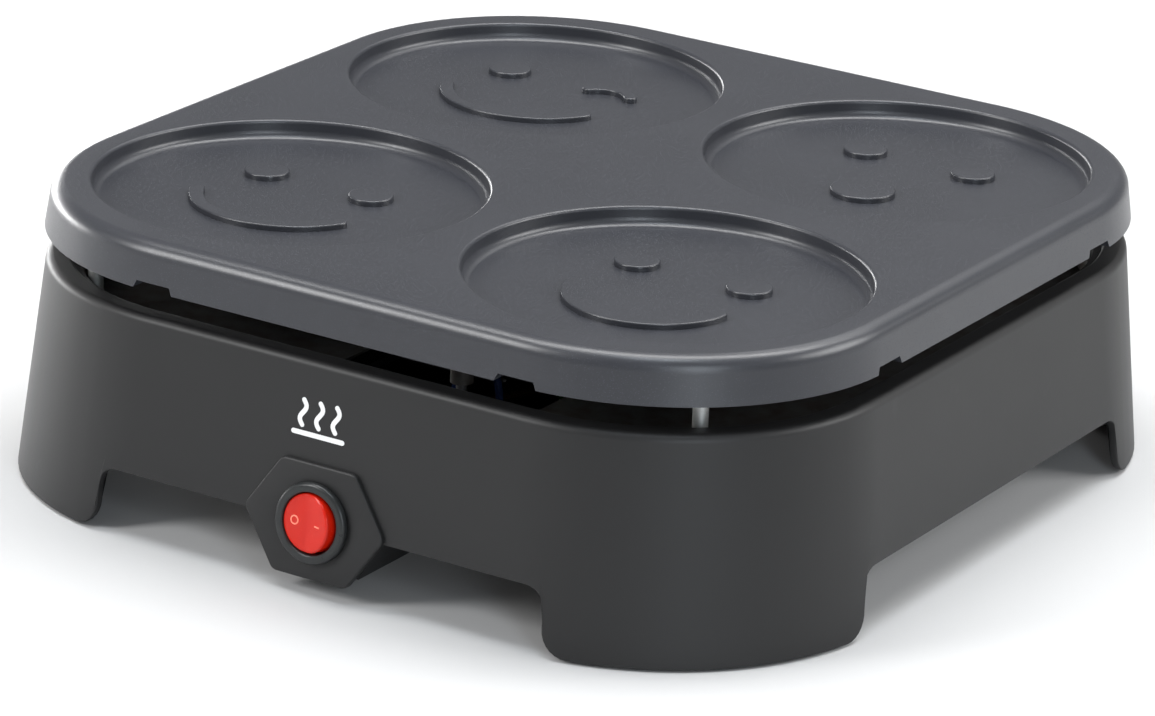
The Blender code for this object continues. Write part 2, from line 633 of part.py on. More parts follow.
def make_element(steel, pin_steel):
    """One tube: down at terminal A, round under the wells, and down at terminal B."""
    x, y, z = ELEMENT_HALF_X, ELEMENT_HALF_Y, ELEMENT_Z
    corners = [
        (*TERMINAL_A, TERMINAL_END), (*TERMINAL_A, z), (TERMINAL_A[0], -y, z), (x, -y, z), (x, y, z),
        (-x, y, z), (-x, -y, z), (*TERMINAL_B, z), (*TERMINAL_B, TERMINAL_END),
    ]
    radii = [ELEMENT_BEND, ELEMENT_BEND, ELEMENT_CORNER / 2] + [ELEMENT_CORNER] * 3 + [ELEMENT_BEND]
    wire("heating_element", bent_route(corners, radii, steps=6), ELEMENT_RADIUS, steel)
    for name, at in (("a", TERMINAL_A), ("b", TERMINAL_B)):
        end = TERMINAL_END - GAP
        rod(f"element_terminal_{name}", PIN_RADIUS, end - PIN_LENGTH, end, at, pin_steel, sides=12)


def make_reflector(sheet):
    inset = LEDGE + RECESS_DRAFT + REFLECTOR_INSET
    outline = base_ring(BASE_TOP, inset)
    rings = [(outline, REFLECTOR_BOTTOM), (outline, REFLECTOR_BOTTOM + REFLECTOR_RIM)]
    reflector = lofted("heat_reflector", rings, sheet, close_top=False)
    shell = reflector.modifiers.new("sheet", "SOLIDIFY")
    shell.thickness = REFLECTOR_SHEET * MM
    shell.use_even_offset = True
    for i, (sx, sy) in enumerate(CORNERS, 1):
        at = (sx * POST_X, sy * POST_Y)
        low, high = REFLECTOR_BOTTOM - 2, REFLECTOR_BOTTOM + 3
        boolean(reflector, rod(f"cut_reflector_hole_{i}", HOLE_RADIUS, low, high, at, sides=12))
        low = REFLECTOR_BOTTOM + REFLECTOR_SHEET + GAP
        boolean(reflector, rod(f"cut_reflector_rim_{i}", 5.4, low, low + REFLECTOR_RIM, at, sides=12))
    boolean(reflector, window_cutter("cut_reflector_window", REFLECTOR_BOTTOM - 2, REFLECTOR_BOTTOM + 3, 1))


def make_posts(aluminium, steel):
    for i, (sx, sy) in enumerate(CORNERS, 1):
        at = (sx * POST_X, sy * POST_Y)
        sleeve(f"plate_post_{i}", POST_RADIUS, HOLE_RADIUS, POST_BOTTOM, POST_TOP, at, aluminium)
        low = RECESS_FLOOR + GAP
        sleeve(f"reflector_spacer_{i}", SPACER_RADIUS, HOLE_RADIUS, low, low + REFLECTOR_LIFT, at, steel)
        bottom = RECESS_BOTTOM - GAP - SCREW_HEAD
        pan_screw(f"plate_screw_{i}", bottom, WELL_FLOOR - 2.6, at, steel)


def make_bottom_cover(finish, steel):
    inset = BASE_WALL / cos(LEAN_FRONT) + 0.5
    screws = [(sx * COVER_SCREW_X, sy * COVER_SCREW_Y) for sx, sy in CORNERS]
    holes = [arc(at, HOLE_RADIUS, 0, 360, 12)[:-1] for at in screws]
    outer = base_ring(COVER_BOTTOM, inset)
    cover = flat("bottom_cover", [outer, *holes], COVER_BOTTOM, COVER_BOTTOM + COVER_THICK, finish)
    half = VENT_SLOT_LENGTH / 2
    end = VENT_SLOT_WIDTH / 2
    for i in range(2 * VENT_SLOT_ROWS):
        x, y = (-1, 1)[i % 2] * VENT_SLOT_X, VENT_SLOT_FRONT + VENT_SLOT_PITCH * (i // 2)
        slot = arc((x + half - end, y), end, -90, 90, 4) + arc((x - half + end, y), end, 90, 270, 4)
        low, high = COVER_BOTTOM - 2, COVER_BOTTOM + COVER_THICK + 2
        boolean(cover, flat(f"cut_vent_slot_{i + 1}", [slot], low, high))

    front = front_wall(BOX_FLOOR) + BASE_WALL + 2.6
    top = COVER_BOTTOM + COVER_THICK
    for name, wall, start in (("join_switch_box", 0, front), ("cut_switch_box", BOX_WALL, front - 20)):
        rise = top + 12 if wall else top
        floor = BOX_FLOOR + wall
        wide, narrow = BOX_HALF_WIDTH - wall, BOX_FLOOR_HALF - wall / 2
        right = [(narrow, floor), (wide, PANEL_CENTRE), (wide, rise)]
        outline = [(-x, z) for x, z in reversed(right)] + right
        back = box_back() - wall
        tool = flat(name, [outline], -(back - start) / 2, (back - start) / 2)
        tool.rotation_euler = (pi / 2, 0, 0)
        tool.location = Vector((0, (back + start) / 2, 0)) * MM
        boolean(cover, tool, "DIFFERENCE" if wall else "UNION")
    for i, at in enumerate(screws, 1):
        pan_screw(f"cover_screw_{i}", COVER_BOTTOM - GAP - SCREW_HEAD, COVER_BOTTOM + 12, at, steel)


def make_feet(rubber):
    for i, (sx, sy) in enumerate(CORNERS, 1):
        soften = 0.6
        edge = [(PAD_RADIUS, PAD_HEIGHT), (PAD_RADIUS, soften), (PAD_RADIUS - soften, 0)]
        profile = [(0, PAD_HEIGHT), *edge, (0, 0)]
        turned(f"foot_pad_{i}", profile, rubber, (*pad_centre(sx, sy), 0), steps=16)


def make_switch(black, red, brass, glass):
    """The rocker switch, in its own frame: +Z out of the panel, +Y up it."""
    face = PANEL_RISE + GAP + BEZEL_THICK
    bore, body = SWITCH_BORE / 2, SWITCH_HOLE / 2 - GAP
    back = face - SWITCH_DEPTH
    profile = [
        (bore + 0.5, face), (BEZEL / 2 - 0.9, face), (BEZEL / 2 - 0.25, face - 0.45), (BEZEL / 2, face - 1.1),
        (BEZEL / 2, PANEL_RISE + GAP), (body, PANEL_RISE + GAP), (body, back), (0, back),
        (0, back + 2), (bore - 1.5, back + 2), (bore - 1.5, face - 8.5), (bore, face - 8.5),
        (bore, face - 0.5),
    ]
    switch = turned("switch_body", profile, black, parent=SWITCH_FRAME, steps=32, ring=True)
    pivot = face - PIVOT_DEPTH
    for side in (-1, 1):
        wide, deep = ROCKER_PIN_RADIUS + 0.35, 2 * ROCKER_PIN_REACH
        at = (0, side * bore, pivot - ROCKER_PIN_DROP)
        socket = turned(f"cut_pivot_socket_{side}", [(0, deep), (wide, deep), (wide, -deep), (0, -deep)],
                        at=at, turn=(pi / 2, 0, 0), parent=SWITCH_FRAME, steps=12)
        boolean(switch, socket)
    thin, wide = BLADE_HALF
    behind, inside = BLADE_REACH
    for i, x in enumerate((-BLADE_PITCH, 0, BLADE_PITCH), 1):
        low = (x - thin - GAP, -wide - GAP, back - 2)
        high = (x + thin + GAP, wide + GAP, back + inside + 1)
        boolean(switch, block(f"cut_blade_slot_{i}", low, high, parent=SWITCH_FRAME))
        low, high = (x - thin, -wide, back - behind), (x + thin, wide, back + inside)
        block(f"switch_blade_{i}", low, high, brass, SWITCH_FRAME, 0.15)
    lamp = [(0, 3.4), (1.0, 3.2), (1.6, 2.2), (1.6, -3.4), (0, -3.4)]
    turned("neon_lamp", lamp, glass, (0, 0, back + 6), (pi / 2, 0, 0), SWITCH_FRAME, steps=12)
    make_rocker(red, pivot)


def make_rocker(red, pivot):
    """A round button with two sloping halves, tipped to OFF, turning about the panel's upright."""
    hinge = bpy.data.objects.new("rocker_hinge", None)
    PIECES.objects.link(hinge)
    hinge.parent = SWITCH_FRAME
    hinge.location = (0, 0, (pivot - ROCKER_PIN_DROP) * MM)
    hinge.rotation_euler = (0, -radians(ROCKER_TILT), 0)
    radius = ROCKER / 2
    rise = ROCKER_RISE + ROCKER_PIN_DROP
    skirt = -ROCKER_SKIRT
    profile = [(0, rise + 1), (radius - 0.55, rise + 1), (radius - 0.12, rise - 0.4), (radius, rise - 1.4),
               (radius, skirt + 1.6), (radius - 1.1, skirt), (0, skirt)]
    rocker = turned("rocker", profile, red, parent=hinge, steps=32)
    slope = radians(ROCKER_VEE)
    deep = rise - radius * sin(slope)
    for side in (-1, 1):
        wedge = flat(f"cut_rocker_half_{side}", [[(0, 0), (14, 0), (14, 14), (0, 14)]], -12, 12, parent=hinge)
        upright = Matrix.Rotation(0 if side > 0 else pi, 4, "Z") @ Matrix.Rotation(pi / 2, 4, "X")
        tip = Matrix.Rotation(-side * slope, 4, "Y")
        wedge.matrix_basis = Matrix.Translation((0, 0, deep * MM)) @ tip @ upright
        boolean(rocker, wedge)
    half = radius + ROCKER_PIN_REACH
    profile = [(0, half), (ROCKER_PIN_RADIUS, half), (ROCKER_PIN_RADIUS, -half), (0, -half)]
    pin = turned("join_pivot_pin", profile, turn=(pi / 2, 0, 0), parent=hinge, steps=12)
    boolean(rocker, pin, "UNION")


def make_thermostat(body_finish, steel, screw_steel):
    top = SKIN_BOTTOM - GAP
    flange = BRACKET_TOP + GAP
    body, foot = THERMOSTAT_BODY_RADIUS, BRACKET_TOP - 8
    profile = [(0, top), (7.6, top), (8, top - 0.5), (8, flange), (body, flange), (body, foot), (0, foot)]
    thermostat = turned("thermostat", profile, body_finish, steps=20)
    for i, x in enumerate((-3.4, 3.4), 1):
        low, high = (x - 0.4, -2.4, BRACKET_TOP - 14), (x + 0.4, 2.4, BRACKET_TOP - 7)
        boolean(thermostat, block(f"join_thermostat_blade_{i}", low, high), "UNION")
    outline = rounded_polygon([(-19, -8), (19, -8), (19, 8), (-19, 8)], [7.5] * 4)
    holes = [arc((0, 0), body + GAP, 0, 360, 20)[:-1]]
    holes += [arc((x, 0), HOLE_RADIUS, 0, 360, 12)[:-1] for x in (-THERMOSTAT_SCREW_X, THERMOSTAT_SCREW_X)]
    flat("thermostat_bracket", [outline, *holes], BRACKET_TOP - BRACKET_SHEET, BRACKET_TOP, steel)
    for i, x in enumerate((-THERMOSTAT_SCREW_X, THERMOSTAT_SCREW_X), 1):
        bottom = BRACKET_TOP - BRACKET_SHEET - GAP - SCREW_HEAD
        pan_screw(f"thermostat_screw_{i}", bottom, SKIN_BOTTOM + 0.8, (x, 0), screw_steel)
    end = FUSE_HALF
    fuse = [(0, end), (1.4, end), (2.1, end - 1), (2.1, 1 - end), (1.4, -end), (0, -end)]
    turned("thermal_fuse", fuse, steel, FUSE, (pi / 2, 0, 0), steps=12)


def make_terminal_block(ceramic, steel):
    x, y = BLOCK_CENTRE
    long, wide, high = BLOCK_SIZE
    top = RECESS_BOTTOM - GAP
    low, high_corner = (x - long / 2, y - wide / 2, top - high), (x + long / 2, y + wide / 2, top)
    box = block("terminal_block", low, high_corner, ceramic)
    for i, dx in enumerate((-BLOCK_PITCH, 0, BLOCK_PITCH), 1):
        way = block(f"cut_block_way_{i}", (x + dx - 1.8, y - wide, top - high / 2 - 1.8),
                    (x + dx + 1.8, y + wide, top - high / 2 + 1.8))
        boolean(box, way)
    boolean(box, rod("cut_block_screw", HOLE_RADIUS, top - high - 2, top - 2, (x + 5, y), sides=12))
    pan_screw("terminal_block_screw", top - high - GAP - SCREW_HEAD, top - 2.4, (x + 5, y), steel)


def make_gland(finish):
    bore, hole = GLAND_BORE / 2, GLAND_HOLE / 2
    outer = hole + 2.5
    profile = [
        (bore + 0.6, 5.0), (bore + 2.0, 5.0), (outer, 2.4), (outer, GAP), (hole - GAP, GAP),
        (hole - GAP, -BASE_WALL - GAP), (hole - GAP, -BASE_WALL - 4), (bore, -BASE_WALL - 4), (bore, 4.2),
    ]
    turned("cord_gland", profile, finish, parent=GLAND_FRAME, steps=24, ring=True)


def make_wires(brown, blue, green, white):
    """Each wire from its terminal to the next, by points chosen beside the pieces it passes."""
    x, y = BLOCK_CENTRE
    ways = [(x + step * BLOCK_PITCH, y - BLOCK_SIZE[1] / 2 - GAP, RECESS_BOTTOM - GAP - BLOCK_SIZE[2] / 2)
            for step in (-1, 0, 1)]
    low = COVER_BOTTOM + COVER_THICK + 7.6
    dips = [(way[0], way[1] - 22, low) for way in ways]
    blade_y = front_wall(PANEL_CENTRE) + SWITCH_DEPTH + BLADE_REACH[0] - PANEL_RISE - BEZEL_THICK + 2 * GAP
    blade_z = PANEL_CENTRE - (SWITCH_DEPTH + 4) * sin(LEAN_FRONT)
    back, sill, pin_end = box_back(), WINDOW_BACK_Y, TERMINAL_END - PIN_LENGTH - 1
    tab_end = BRACKET_TOP - 15 - GAP
    far = CUP_BOTTOM - GAP - 0.3

    def in_box(x, deep=10):
        return [(x, back - deep, PANEL_CENTRE), (x, blade_y + 4.2, blade_z), (x, blade_y, blade_z)]

    def half_way(start, end):
        return tuple((a + b) / 2 for a, b in zip(start, end))

    over_box = (-6, back + 30, low)
    under_window = (17, sill + 1, low + 2)
    earth_turn = (38, sill + 8, low + 6)
    earth_end = (WELL_X - 20.5, 5 - WELL_Y, far)
    rise = TERMINAL_END - 12
    over = TERMINAL_END - 1
    left = -BLADE_PITCH
    live = [ways[0], dips[0], half_way(dips[0], over_box), over_box, (left, back + 4, 31),
            (left, back - 6, 29), *in_box(left)]
    neutral = [ways[1], dips[1], half_way(dips[1], under_window), under_window, (12, sill - 8, rise),
               (8, sill - 4, over), (6, sill / 2, over + 1), (3.4, -14, over), (3.4, 0, tab_end)]
    earth = [ways[2], dips[2], half_way(dips[2], earth_turn), earth_turn, (34, sill - 10, rise + 1),
             (36, sill - 8, over + 2), (earth_end[0], earth_end[1] - 2, far - 7), earth_end]
    switched = [*in_box(0, 8)[::-1], (4, back - 5, 32), (*TERMINAL_A, pin_end - 6), (*TERMINAL_A, pin_end)]
    lamp_feed = [*in_box(BLADE_PITCH, 8)[::-1], (9, back, 32), (*TERMINAL_B, pin_end - 6),
                 (*TERMINAL_B, pin_end)]
    x, y, z = FUSE
    near, beyond = y + FUSE_HALF + 0.4, y - FUSE_HALF - 0.4
    fuse_lead = [(-3.4, -3, tab_end), (x, near / 2, z - 6), (x, near + 4, z), (x, near, z)]
    span = TERMINAL_B[1] - beyond
    element_lead = [(x, beyond, z), (x, beyond + span * 0.35, z - 3), (x + 2, beyond + span * 0.7, over - 1),
                    (TERMINAL_B[0] - 3.5, TERMINAL_B[1] + 1, TERMINAL_END - 3.5)]
    for name, route, finish in (
        ("wire_live", live, brown), ("wire_neutral", neutral, blue), ("wire_earth", earth, green),
        ("wire_switched", switched, brown), ("wire_lamp", lamp_feed, blue),
        ("wire_fuse", fuse_lead, white), ("wire_element", element_lead, white),
    ):
        wire(name, smooth_route(route, 3.2 * WIRE_RADIUS), WIRE_RADIUS, finish)


def frame_at(name, x, height, back=False):
    """An empty on the front or rear wall's outer face: +Z out of the wall, +Y up it."""
    made = bpy.data.objects.new(name, None)
    PIECES.objects.link(made)
    side = -1 if back else 1
    made.location = Vector((x, side * front_wall(height), height)) * MM
    made.rotation_euler = (pi / 2 - LEAN_FRONT, 0, pi if back else 0)
    return made


clear_scene()
PIECES = new_collection("electric_griddle")
CUTTERS = new_collection("cutters", hidden=True)
SWITCH_FRAME = frame_at("switch_frame", 0, PANEL_CENTRE)
GLAND_FRAME = frame_at("gland_frame", GLAND_X, GLAND_HEIGHT, back=True)
bpy.context.view_layer.update()

HOUSING_BLACK = material("housing_black", (0.045, 0.045, 0.047), 0.5)
PLATE_COAT = material("plate_coat", (0.075, 0.078, 0.088), 0.42, 0.25)
SWITCH_BLACK = material("switch_black", (0.03, 0.032, 0.034), 0.3)
ROCKER_RED = material("rocker_red", (0.75, 0.03, 0.01), 0.25)
STEEL = material("steel", (0.6, 0.6, 0.6), 0.35, 1.0)
ALUMINIUM = material("aluminium", (0.72, 0.73, 0.72), 0.4, 1.0)
BRASS = material("brass", (0.75, 0.58, 0.28), 0.3, 1.0)
RUBBER = material("rubber", (0.03, 0.03, 0.03), 0.8)
CERAMIC = material("ceramic", (0.85, 0.83, 0.78), 0.5)
GLASS = material("lamp_glass", (0.9, 0.6, 0.45), 0.1)
BROWN = material("wire_brown", (0.2, 0.09, 0.04), 0.5)
BLUE = material("wire_blue", (0.05, 0.14, 0.45), 0.5)
GREEN = material("wire_green", (0.3, 0.5, 0.06), 0.5)
WHITE = material("wire_white", (0.8, 0.8, 0.76), 0.7)

make_base_housing(HOUSING_BLACK)
make_cooking_plate(PLATE_COAT)
make_element(STEEL, STEEL)
make_clamps(STEEL, STEEL)
make_reflector(ALUMINIUM)
make_posts(ALUMINIUM, STEEL)
make_bottom_cover(HOUSING_BLACK, STEEL)
make_feet(RUBBER)
make_switch(SWITCH_BLACK, ROCKER_RED, BRASS, GLASS)
make_thermostat(CERAMIC, STEEL, STEEL)
make_terminal_block(CERAMIC, STEEL)
make_gland(RUBBER)
make_wires(BROWN, BLUE, GREEN, WHITE)
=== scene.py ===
"""The look of the four-well electric griddle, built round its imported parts.

Lengths are in millimetres until mesh_object turns them into metres. +Z is up and -Y is the front.
"""

import json
from math import acos, atan2, cos, degrees, floor, pi, radians, sin, sqrt

import bmesh
import bpy
from mathutils import Matrix, Vector
from mathutils.geometry import tessellate_polygon


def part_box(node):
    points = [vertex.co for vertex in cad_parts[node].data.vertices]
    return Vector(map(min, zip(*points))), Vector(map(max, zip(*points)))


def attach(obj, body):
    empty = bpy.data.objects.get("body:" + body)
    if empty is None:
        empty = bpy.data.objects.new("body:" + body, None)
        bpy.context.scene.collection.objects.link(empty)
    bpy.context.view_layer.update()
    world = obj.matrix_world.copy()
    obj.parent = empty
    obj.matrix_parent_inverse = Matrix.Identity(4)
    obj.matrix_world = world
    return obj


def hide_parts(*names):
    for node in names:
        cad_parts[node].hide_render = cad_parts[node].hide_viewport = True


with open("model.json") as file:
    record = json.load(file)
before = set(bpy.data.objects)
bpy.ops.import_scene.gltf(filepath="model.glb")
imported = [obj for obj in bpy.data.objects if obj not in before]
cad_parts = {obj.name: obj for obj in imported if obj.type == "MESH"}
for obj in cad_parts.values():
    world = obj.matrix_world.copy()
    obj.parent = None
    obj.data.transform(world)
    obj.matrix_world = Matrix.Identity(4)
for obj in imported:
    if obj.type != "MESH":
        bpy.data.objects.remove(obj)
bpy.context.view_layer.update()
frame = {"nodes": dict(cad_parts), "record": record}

MM = 0.001
BODY = "griddle"
BUTTON = "rocker_button"


def box_mm(node):
    return [Vector(corner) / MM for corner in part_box(node)]


def above(node):
    """A matrix on the floor under a node's middle."""
    low, high = box_mm(node)
    return Matrix.Translation(((low.x + high.x) / 2, (low.y + high.y) / 2, 0))


# Sizes taken from the frame.
PLATE_HIGH = box_mm("cooking_plate")[1]
BASE_HIGH = box_mm("base_housing")[1]
JOINTS = frame["record"]["behaviour"]["joints"]
HINGE = next(joint for joint in JOINTS if joint["name"] == "rocker_hinge")
HINGE_AT = Vector(HINGE["pos_m"]) / MM
PANEL_UP = Vector(HINGE["axis"]).normalized()
LEAN = atan2(PANEL_UP.y, PANEL_UP.z)

# Sizes of the plate and base.
PLATE_TOP = PLATE_HIGH.z
SKIRT_DRAFT = 1.3
PLATE_HALF = (PLATE_HIGH.x - SKIRT_DRAFT, PLATE_HIGH.y - SKIRT_DRAFT)
PLATE_CORNER = 69.6
SKIRT = 13.2
SKIRT_FOOT = PLATE_TOP - SKIRT
PLATE_SKIN = 4.0
UNDER_ROUND = 2.0
EDGE_ROUND = 4.6
WELL = (62.5, 65.0)
WELL_RADIUS = 56.6
WELL_DEPTH = 5.6
WELL_RIM_ROUND = 1.1
WELL_FOOT_ROUND = 2.6
WELL_FLOOR = PLATE_TOP - WELL_DEPTH
RELIEF = 1.7
CUP_BOTTOM = WELL_FLOOR - PLATE_SKIN
NOTCH = (59.0, 62.0)
NOTCH_WIDTH = 11.0
NOTCH_HEIGHT = 2.1
BASE_TOP = BASE_HIGH.z
BASE_TOP_HALF = (130.2, 135.4)
BASE_FLARE = (6.65, 7.3)
BASE_TOP_CORNER = 68.6
FLARE_CORNER = 5.3
BASE_WALL = 2.5
RIM_ROUND = 2.4
LIP_ROUND = 1.2
LEDGE = 7.0
RECESS_FLOOR = BASE_TOP - 19.9
RECESS_DRAFT = 2.0
RECESS_ROUND = 3.0
WINDOW_X = (-22.0, 44.0)
WINDOW_Y = (-116.0, -62.0)
WINDOW_CORNER = 6.0
FOOT_LIFT = 0.5
ARCH_TOP = 19.1
ARCH_HALF = (73.3, 75.5)
ARCH_ROUND = 6.0
FOOT_ROUND = 8.0
PANEL_CENTRE = 20.5
PANEL_RISE = 1.5
PANEL_HALF_WIDTH = 23.0
PANEL_HALF_HEIGHT = 16.2
PANEL_TOP_HALF = 12.0
PANEL_ROUND = 3.0
SWITCH_HOLE = 20.0
GLAND_AT = (60.0, 34.0)
GLAND_HOLE = 12.0
GAP = 0.3
EDGE = 0.5                     # small rounding on moulded edges
EDGE_STEPS = (0.0, EDGE * 0.3, EDGE)
RIM_EVENNESS = 0.55
CORNER_COLUMNS = 16            # steps round each corner of the base between two arches


# Shader expressions --------------------


class Value:
    """A socket that takes part in Python arithmetic; each operation adds its Math node."""

    def __init__(self, tree, socket):
        self.tree = tree
        self.socket = socket

    def math(self, operation, first, second):
        return self.tree.node("ShaderNodeMath", {"operation": operation}, {0: first, 1: second})

    def __add__(self, other):
        return self.math("ADD", self, other)

    def __sub__(self, other):
        return self.math("SUBTRACT", self, other)

    def __rsub__(self, other):
        return self.math("SUBTRACT", other, self)

    def __mul__(self, other):
        return self.math("MULTIPLY", self, other)

    __radd__ = __add__
    __rmul__ = __mul__

    def clamp(self):
        return self.tree.node("ShaderNodeClamp", {}, {"Value": self})

    def step(self, low, high):
        """0 below low, 1 above high, smooth between."""
        values = {"Value": self, "From Min": low, "From Max": high}
        return self.tree.node("ShaderNodeMapRange", {"interpolation_type": "SMOOTHSTEP"}, values)


class Material:
    """A Principled material and the nodes behind it."""

    def __init__(self, name, base, **constants):
        self.material = bpy.data.materials.new(name)
        self.material.use_nodes = True
        self.nodes = self.material.node_tree.nodes
        self.links = self.material.node_tree.links
        self.shader = self.nodes["Principled BSDF"]
        self.set(self.shader, "Base Color", base)
        self.material.diffuse_color = (*base, 1.0)
        for key, value in constants.items():
            self.set(self.shader, key.replace("_", " "), value)
        self.where = self.node("ShaderNodeTexCoord", {}, {}, "Object")

    def set(self, node, key, value):
        socket = node.inputs[key]
        if isinstance(value, Value):
            self.links.new(value.socket, socket)
        elif socket.type == "RGBA":
            socket.default_value = (*value[:3], 1.0)
        else:
            socket.default_value = value

    def node(self, kind, settings, values, output=0):
        made = self.nodes.new(kind)
        for key, value in settings.items():
            setattr(made, key, value)
        for key, value in values.items():
            self.set(made, key, value)
        return Value(self, made.outputs[output])

    def noise(self, size_mm, detail=2.0, roughness=0.5, at=None):
        values = {"Vector": at or self.where, "Scale": 1 / (size_mm * MM), "Detail": detail}
        return self.node("ShaderNodeTexNoise", {}, {**values, "Roughness": roughness})

    def cells(self, size_mm):
        values = {"Vector": self.where, "Scale": 1 / (size_mm * MM)}
        return self.node("ShaderNodeTexVoronoi", {}, values, "Distance")

    def stretched(self, scale):
        return self.node("ShaderNodeMapping", {}, {"Vector": self.where, "Scale": scale})

    def mix(self, share, first, second):
        factor, first_colour, second_colour, mixed = 0, 6, 7, 2     # socket numbers of a colour mix
        values = {factor: share, first_colour: first, second_colour: second}
        return self.node("ShaderNodeMix", {"data_type": "RGBA"}, values, mixed)

    def feed(self, **sockets):
        for key, value in sockets.items():
            self.set(self.shader, key.replace("_", " "), value)

    def bump(self, height, strength, distance_mm):
        values = {"Strength": strength, "Distance": distance_mm * MM, "Height": height}
        self.set(self.shader, "Normal", self.node("ShaderNodeBump", {}, values))


def grey(level, tint=(1.0, 1.0, 1.0)):
    return tuple(level * share for share in tint)


# Finishes --------------------


def moulded_plastic(name, level):
    """Spark-eroded black plastic: a fine even grain, a slight cloudiness and faint handling marks."""
    tint, roughness, grain = (1.0, 1.0, 1.03), 0.46, 0.32
    finish = Material(name, grey(level, tint), Specular_IOR_Level=0.4, IOR=1.5)
    cloud = finish.noise(38, 3.0, 0.55)
    fine = finish.noise(grain, 1.0, 0.6)
    pits = finish.cells(grain * 2.2)
    rubbed = finish.noise(9, 4.0, 0.7).step(0.6, 0.8)
    finish.feed(
        Base_Color=finish.mix(cloud * 0.6 + fine * 0.3, grey(level * 0.86, tint), grey(level * 1.22, tint)),
        Roughness=roughness - 0.06 + cloud * 0.08 + fine * 0.05 - rubbed * 0.04,
    )
    finish.bump(fine * 0.6 + pits * 0.5, 0.22, 0.05)
    return finish.material


def plate_coating():
    """Charcoal non-stick over die-cast aluminium: satin, with a fine pale fleck and a soft orange peel."""
    tint = (0.92, 0.97, 1.16)
    finish = Material("plate_coating", grey(0.08, tint), Specular_IOR_Level=0.55, IOR=1.5)
    fleck = finish.cells(0.55).step(0.16, 0.3)
    cloud = finish.noise(30, 3.0, 0.5)
    peel = finish.noise(1.1, 2.0, 0.5)
    fine = finish.noise(0.25, 1.0, 0.5)
    ground = finish.mix(cloud * 0.5 + fine * 0.5, grey(0.025, tint), grey(0.036, tint))
    finish.feed(
        Base_Color=finish.mix((1 - fleck) * 0.5, ground, grey(0.1, tint)),
        Roughness=0.27 + cloud * 0.06 + fine * 0.07 - (1 - fleck) * 0.07,
    )
    finish.bump(peel * 0.7 + fine * 0.5, 0.16, 0.06)
    return finish.material


def rocker_plastic():
    """Clear red button: glossy, with faint flow marks; its emission paints a faint glow in its own colour."""
    # Emission_Strength and Emission_Color give the button a faint painted glow; it is no lamp.
    finish = Material(
        "rocker_red", (0.55, 0.012, 0.004), Specular_IOR_Level=0.3, Coat_Weight=0.1, Coat_Roughness=0.08,
        Emission_Strength=0.1)
    flow = finish.noise(4.5, 2.0, 0.5, finish.stretched((1.0, 1.0, 0.35)))
    fine = finish.noise(0.5, 1.0, 0.5)
    colour = finish.mix(flow, (0.46, 0.007, 0.001), (0.56, 0.013, 0.003))
    finish.feed(Base_Color=colour, Emission_Color=colour, Roughness=0.2 + fine * 0.1)
    finish.bump(flow * 0.5 + fine * 0.2, 0.05, 0.05)
    return finish.material


def mark_plastic():
    """The button's raised marks, painted paler than the button as a painted highlight where they catch the
    light, with a faint painted glow.
    """
    # The pale colour paints the marks' highlight and Emission_Strength paints a faint glow; the noise only
    # varies the tone at random.
    finish = Material("rocker_mark", (0.9, 0.25, 0.17), Emission_Strength=0.2)
    mottle = finish.noise(0.6, 2.0, 0.6)
    colour = finish.mix(mottle, (0.85, 0.17, 0.1), (0.95, 0.36, 0.26))
    finish.feed(Base_Color=colour, Emission_Color=colour, Roughness=0.3 + mottle * 0.1)
    return finish.material


def switch_plastic():
    finish = Material("switch_plastic", grey(0.04), Specular_IOR_Level=0.35)
    cloud = finish.noise(3.0, 3.0, 0.6)
    fine = finish.noise(0.3, 1.0, 0.5)
    finish.feed(
        Base_Color=finish.mix(cloud, grey(0.016, (0.95, 1.02, 1.05)), grey(0.03, (0.95, 1.03, 1.05))),
        Roughness=0.22 + cloud * 0.1 + fine * 0.05,
    )
    finish.bump(fine, 0.05, 0.04)
    return finish.material


def metal(name, level, tint, roughness, brushed=None, stain=0.0, stain_colour=(0.1, 0.07, 0.05)):
    """Bare or plated metal; brushed gives the direction of its lines, stain how far heat has darkened it."""
    finish = Material(name, grey(level, tint), Metallic=1.0)
    at = finish.stretched(brushed) if brushed else None
    lines = finish.noise(0.9, 3.0, 0.6, at)
    cloud = finish.noise(7, 4.0, 0.6)
    ground = finish.mix(lines, grey(level * 0.82, tint), grey(min(1.0, level * 1.12), tint))
    finish.feed(
        Base_Color=finish.mix((cloud.step(0.35, 0.75) * stain).clamp(), ground, stain_colour),
        Roughness=roughness - 0.06 + lines * 0.14 + cloud * 0.1 * (1 + stain),
    )
    finish.bump(lines * 0.6 + cloud * 0.2, 0.12, 0.05)
    return finish.material


def rubber(name, level=0.022):
    finish = Material(name, grey(level), Specular_IOR_Level=0.35)
    dust = finish.noise(5, 4.0, 0.65)
    fine = finish.noise(0.35, 2.0, 0.6)
    finish.feed(
        Base_Color=finish.mix(dust.step(0.45, 0.85), grey(level), grey(level * 2.1, (1.0, 0.98, 0.94))),
        Roughness=0.62 + fine * 0.2,
    )
    finish.bump(fine, 0.25, 0.06)
    return finish.material


def ceramic():
    finish = Material("ceramic", (0.82, 0.8, 0.74), Specular_IOR_Level=0.5)
    specks = finish.cells(1.4).step(0.05, 0.14)
    fine = finish.noise(0.5, 2.0, 0.5)
    ground = finish.mix(fine, (0.78, 0.75, 0.68), (0.86, 0.84, 0.79))
    colour = finish.mix((1 - specks) * 0.4, ground, (0.45, 0.4, 0.33))
    finish.feed(Base_Color=colour, Roughness=0.42 + fine * 0.2)
    finish.bump(fine, 0.12, 0.05)
    return finish.material


def lamp_glass():
    finish = Material("lamp_glass", (0.92, 0.62, 0.45), Alpha=0.6, Specular_IOR_Level=0.6)
    haze = finish.noise(0.8, 2.0, 0.5)
    colour = finish.mix(haze, (0.95, 0.7, 0.55), (0.88, 0.52, 0.36))
    finish.feed(Base_Color=colour, Roughness=0.06 + haze * 0.1)
    return finish.material


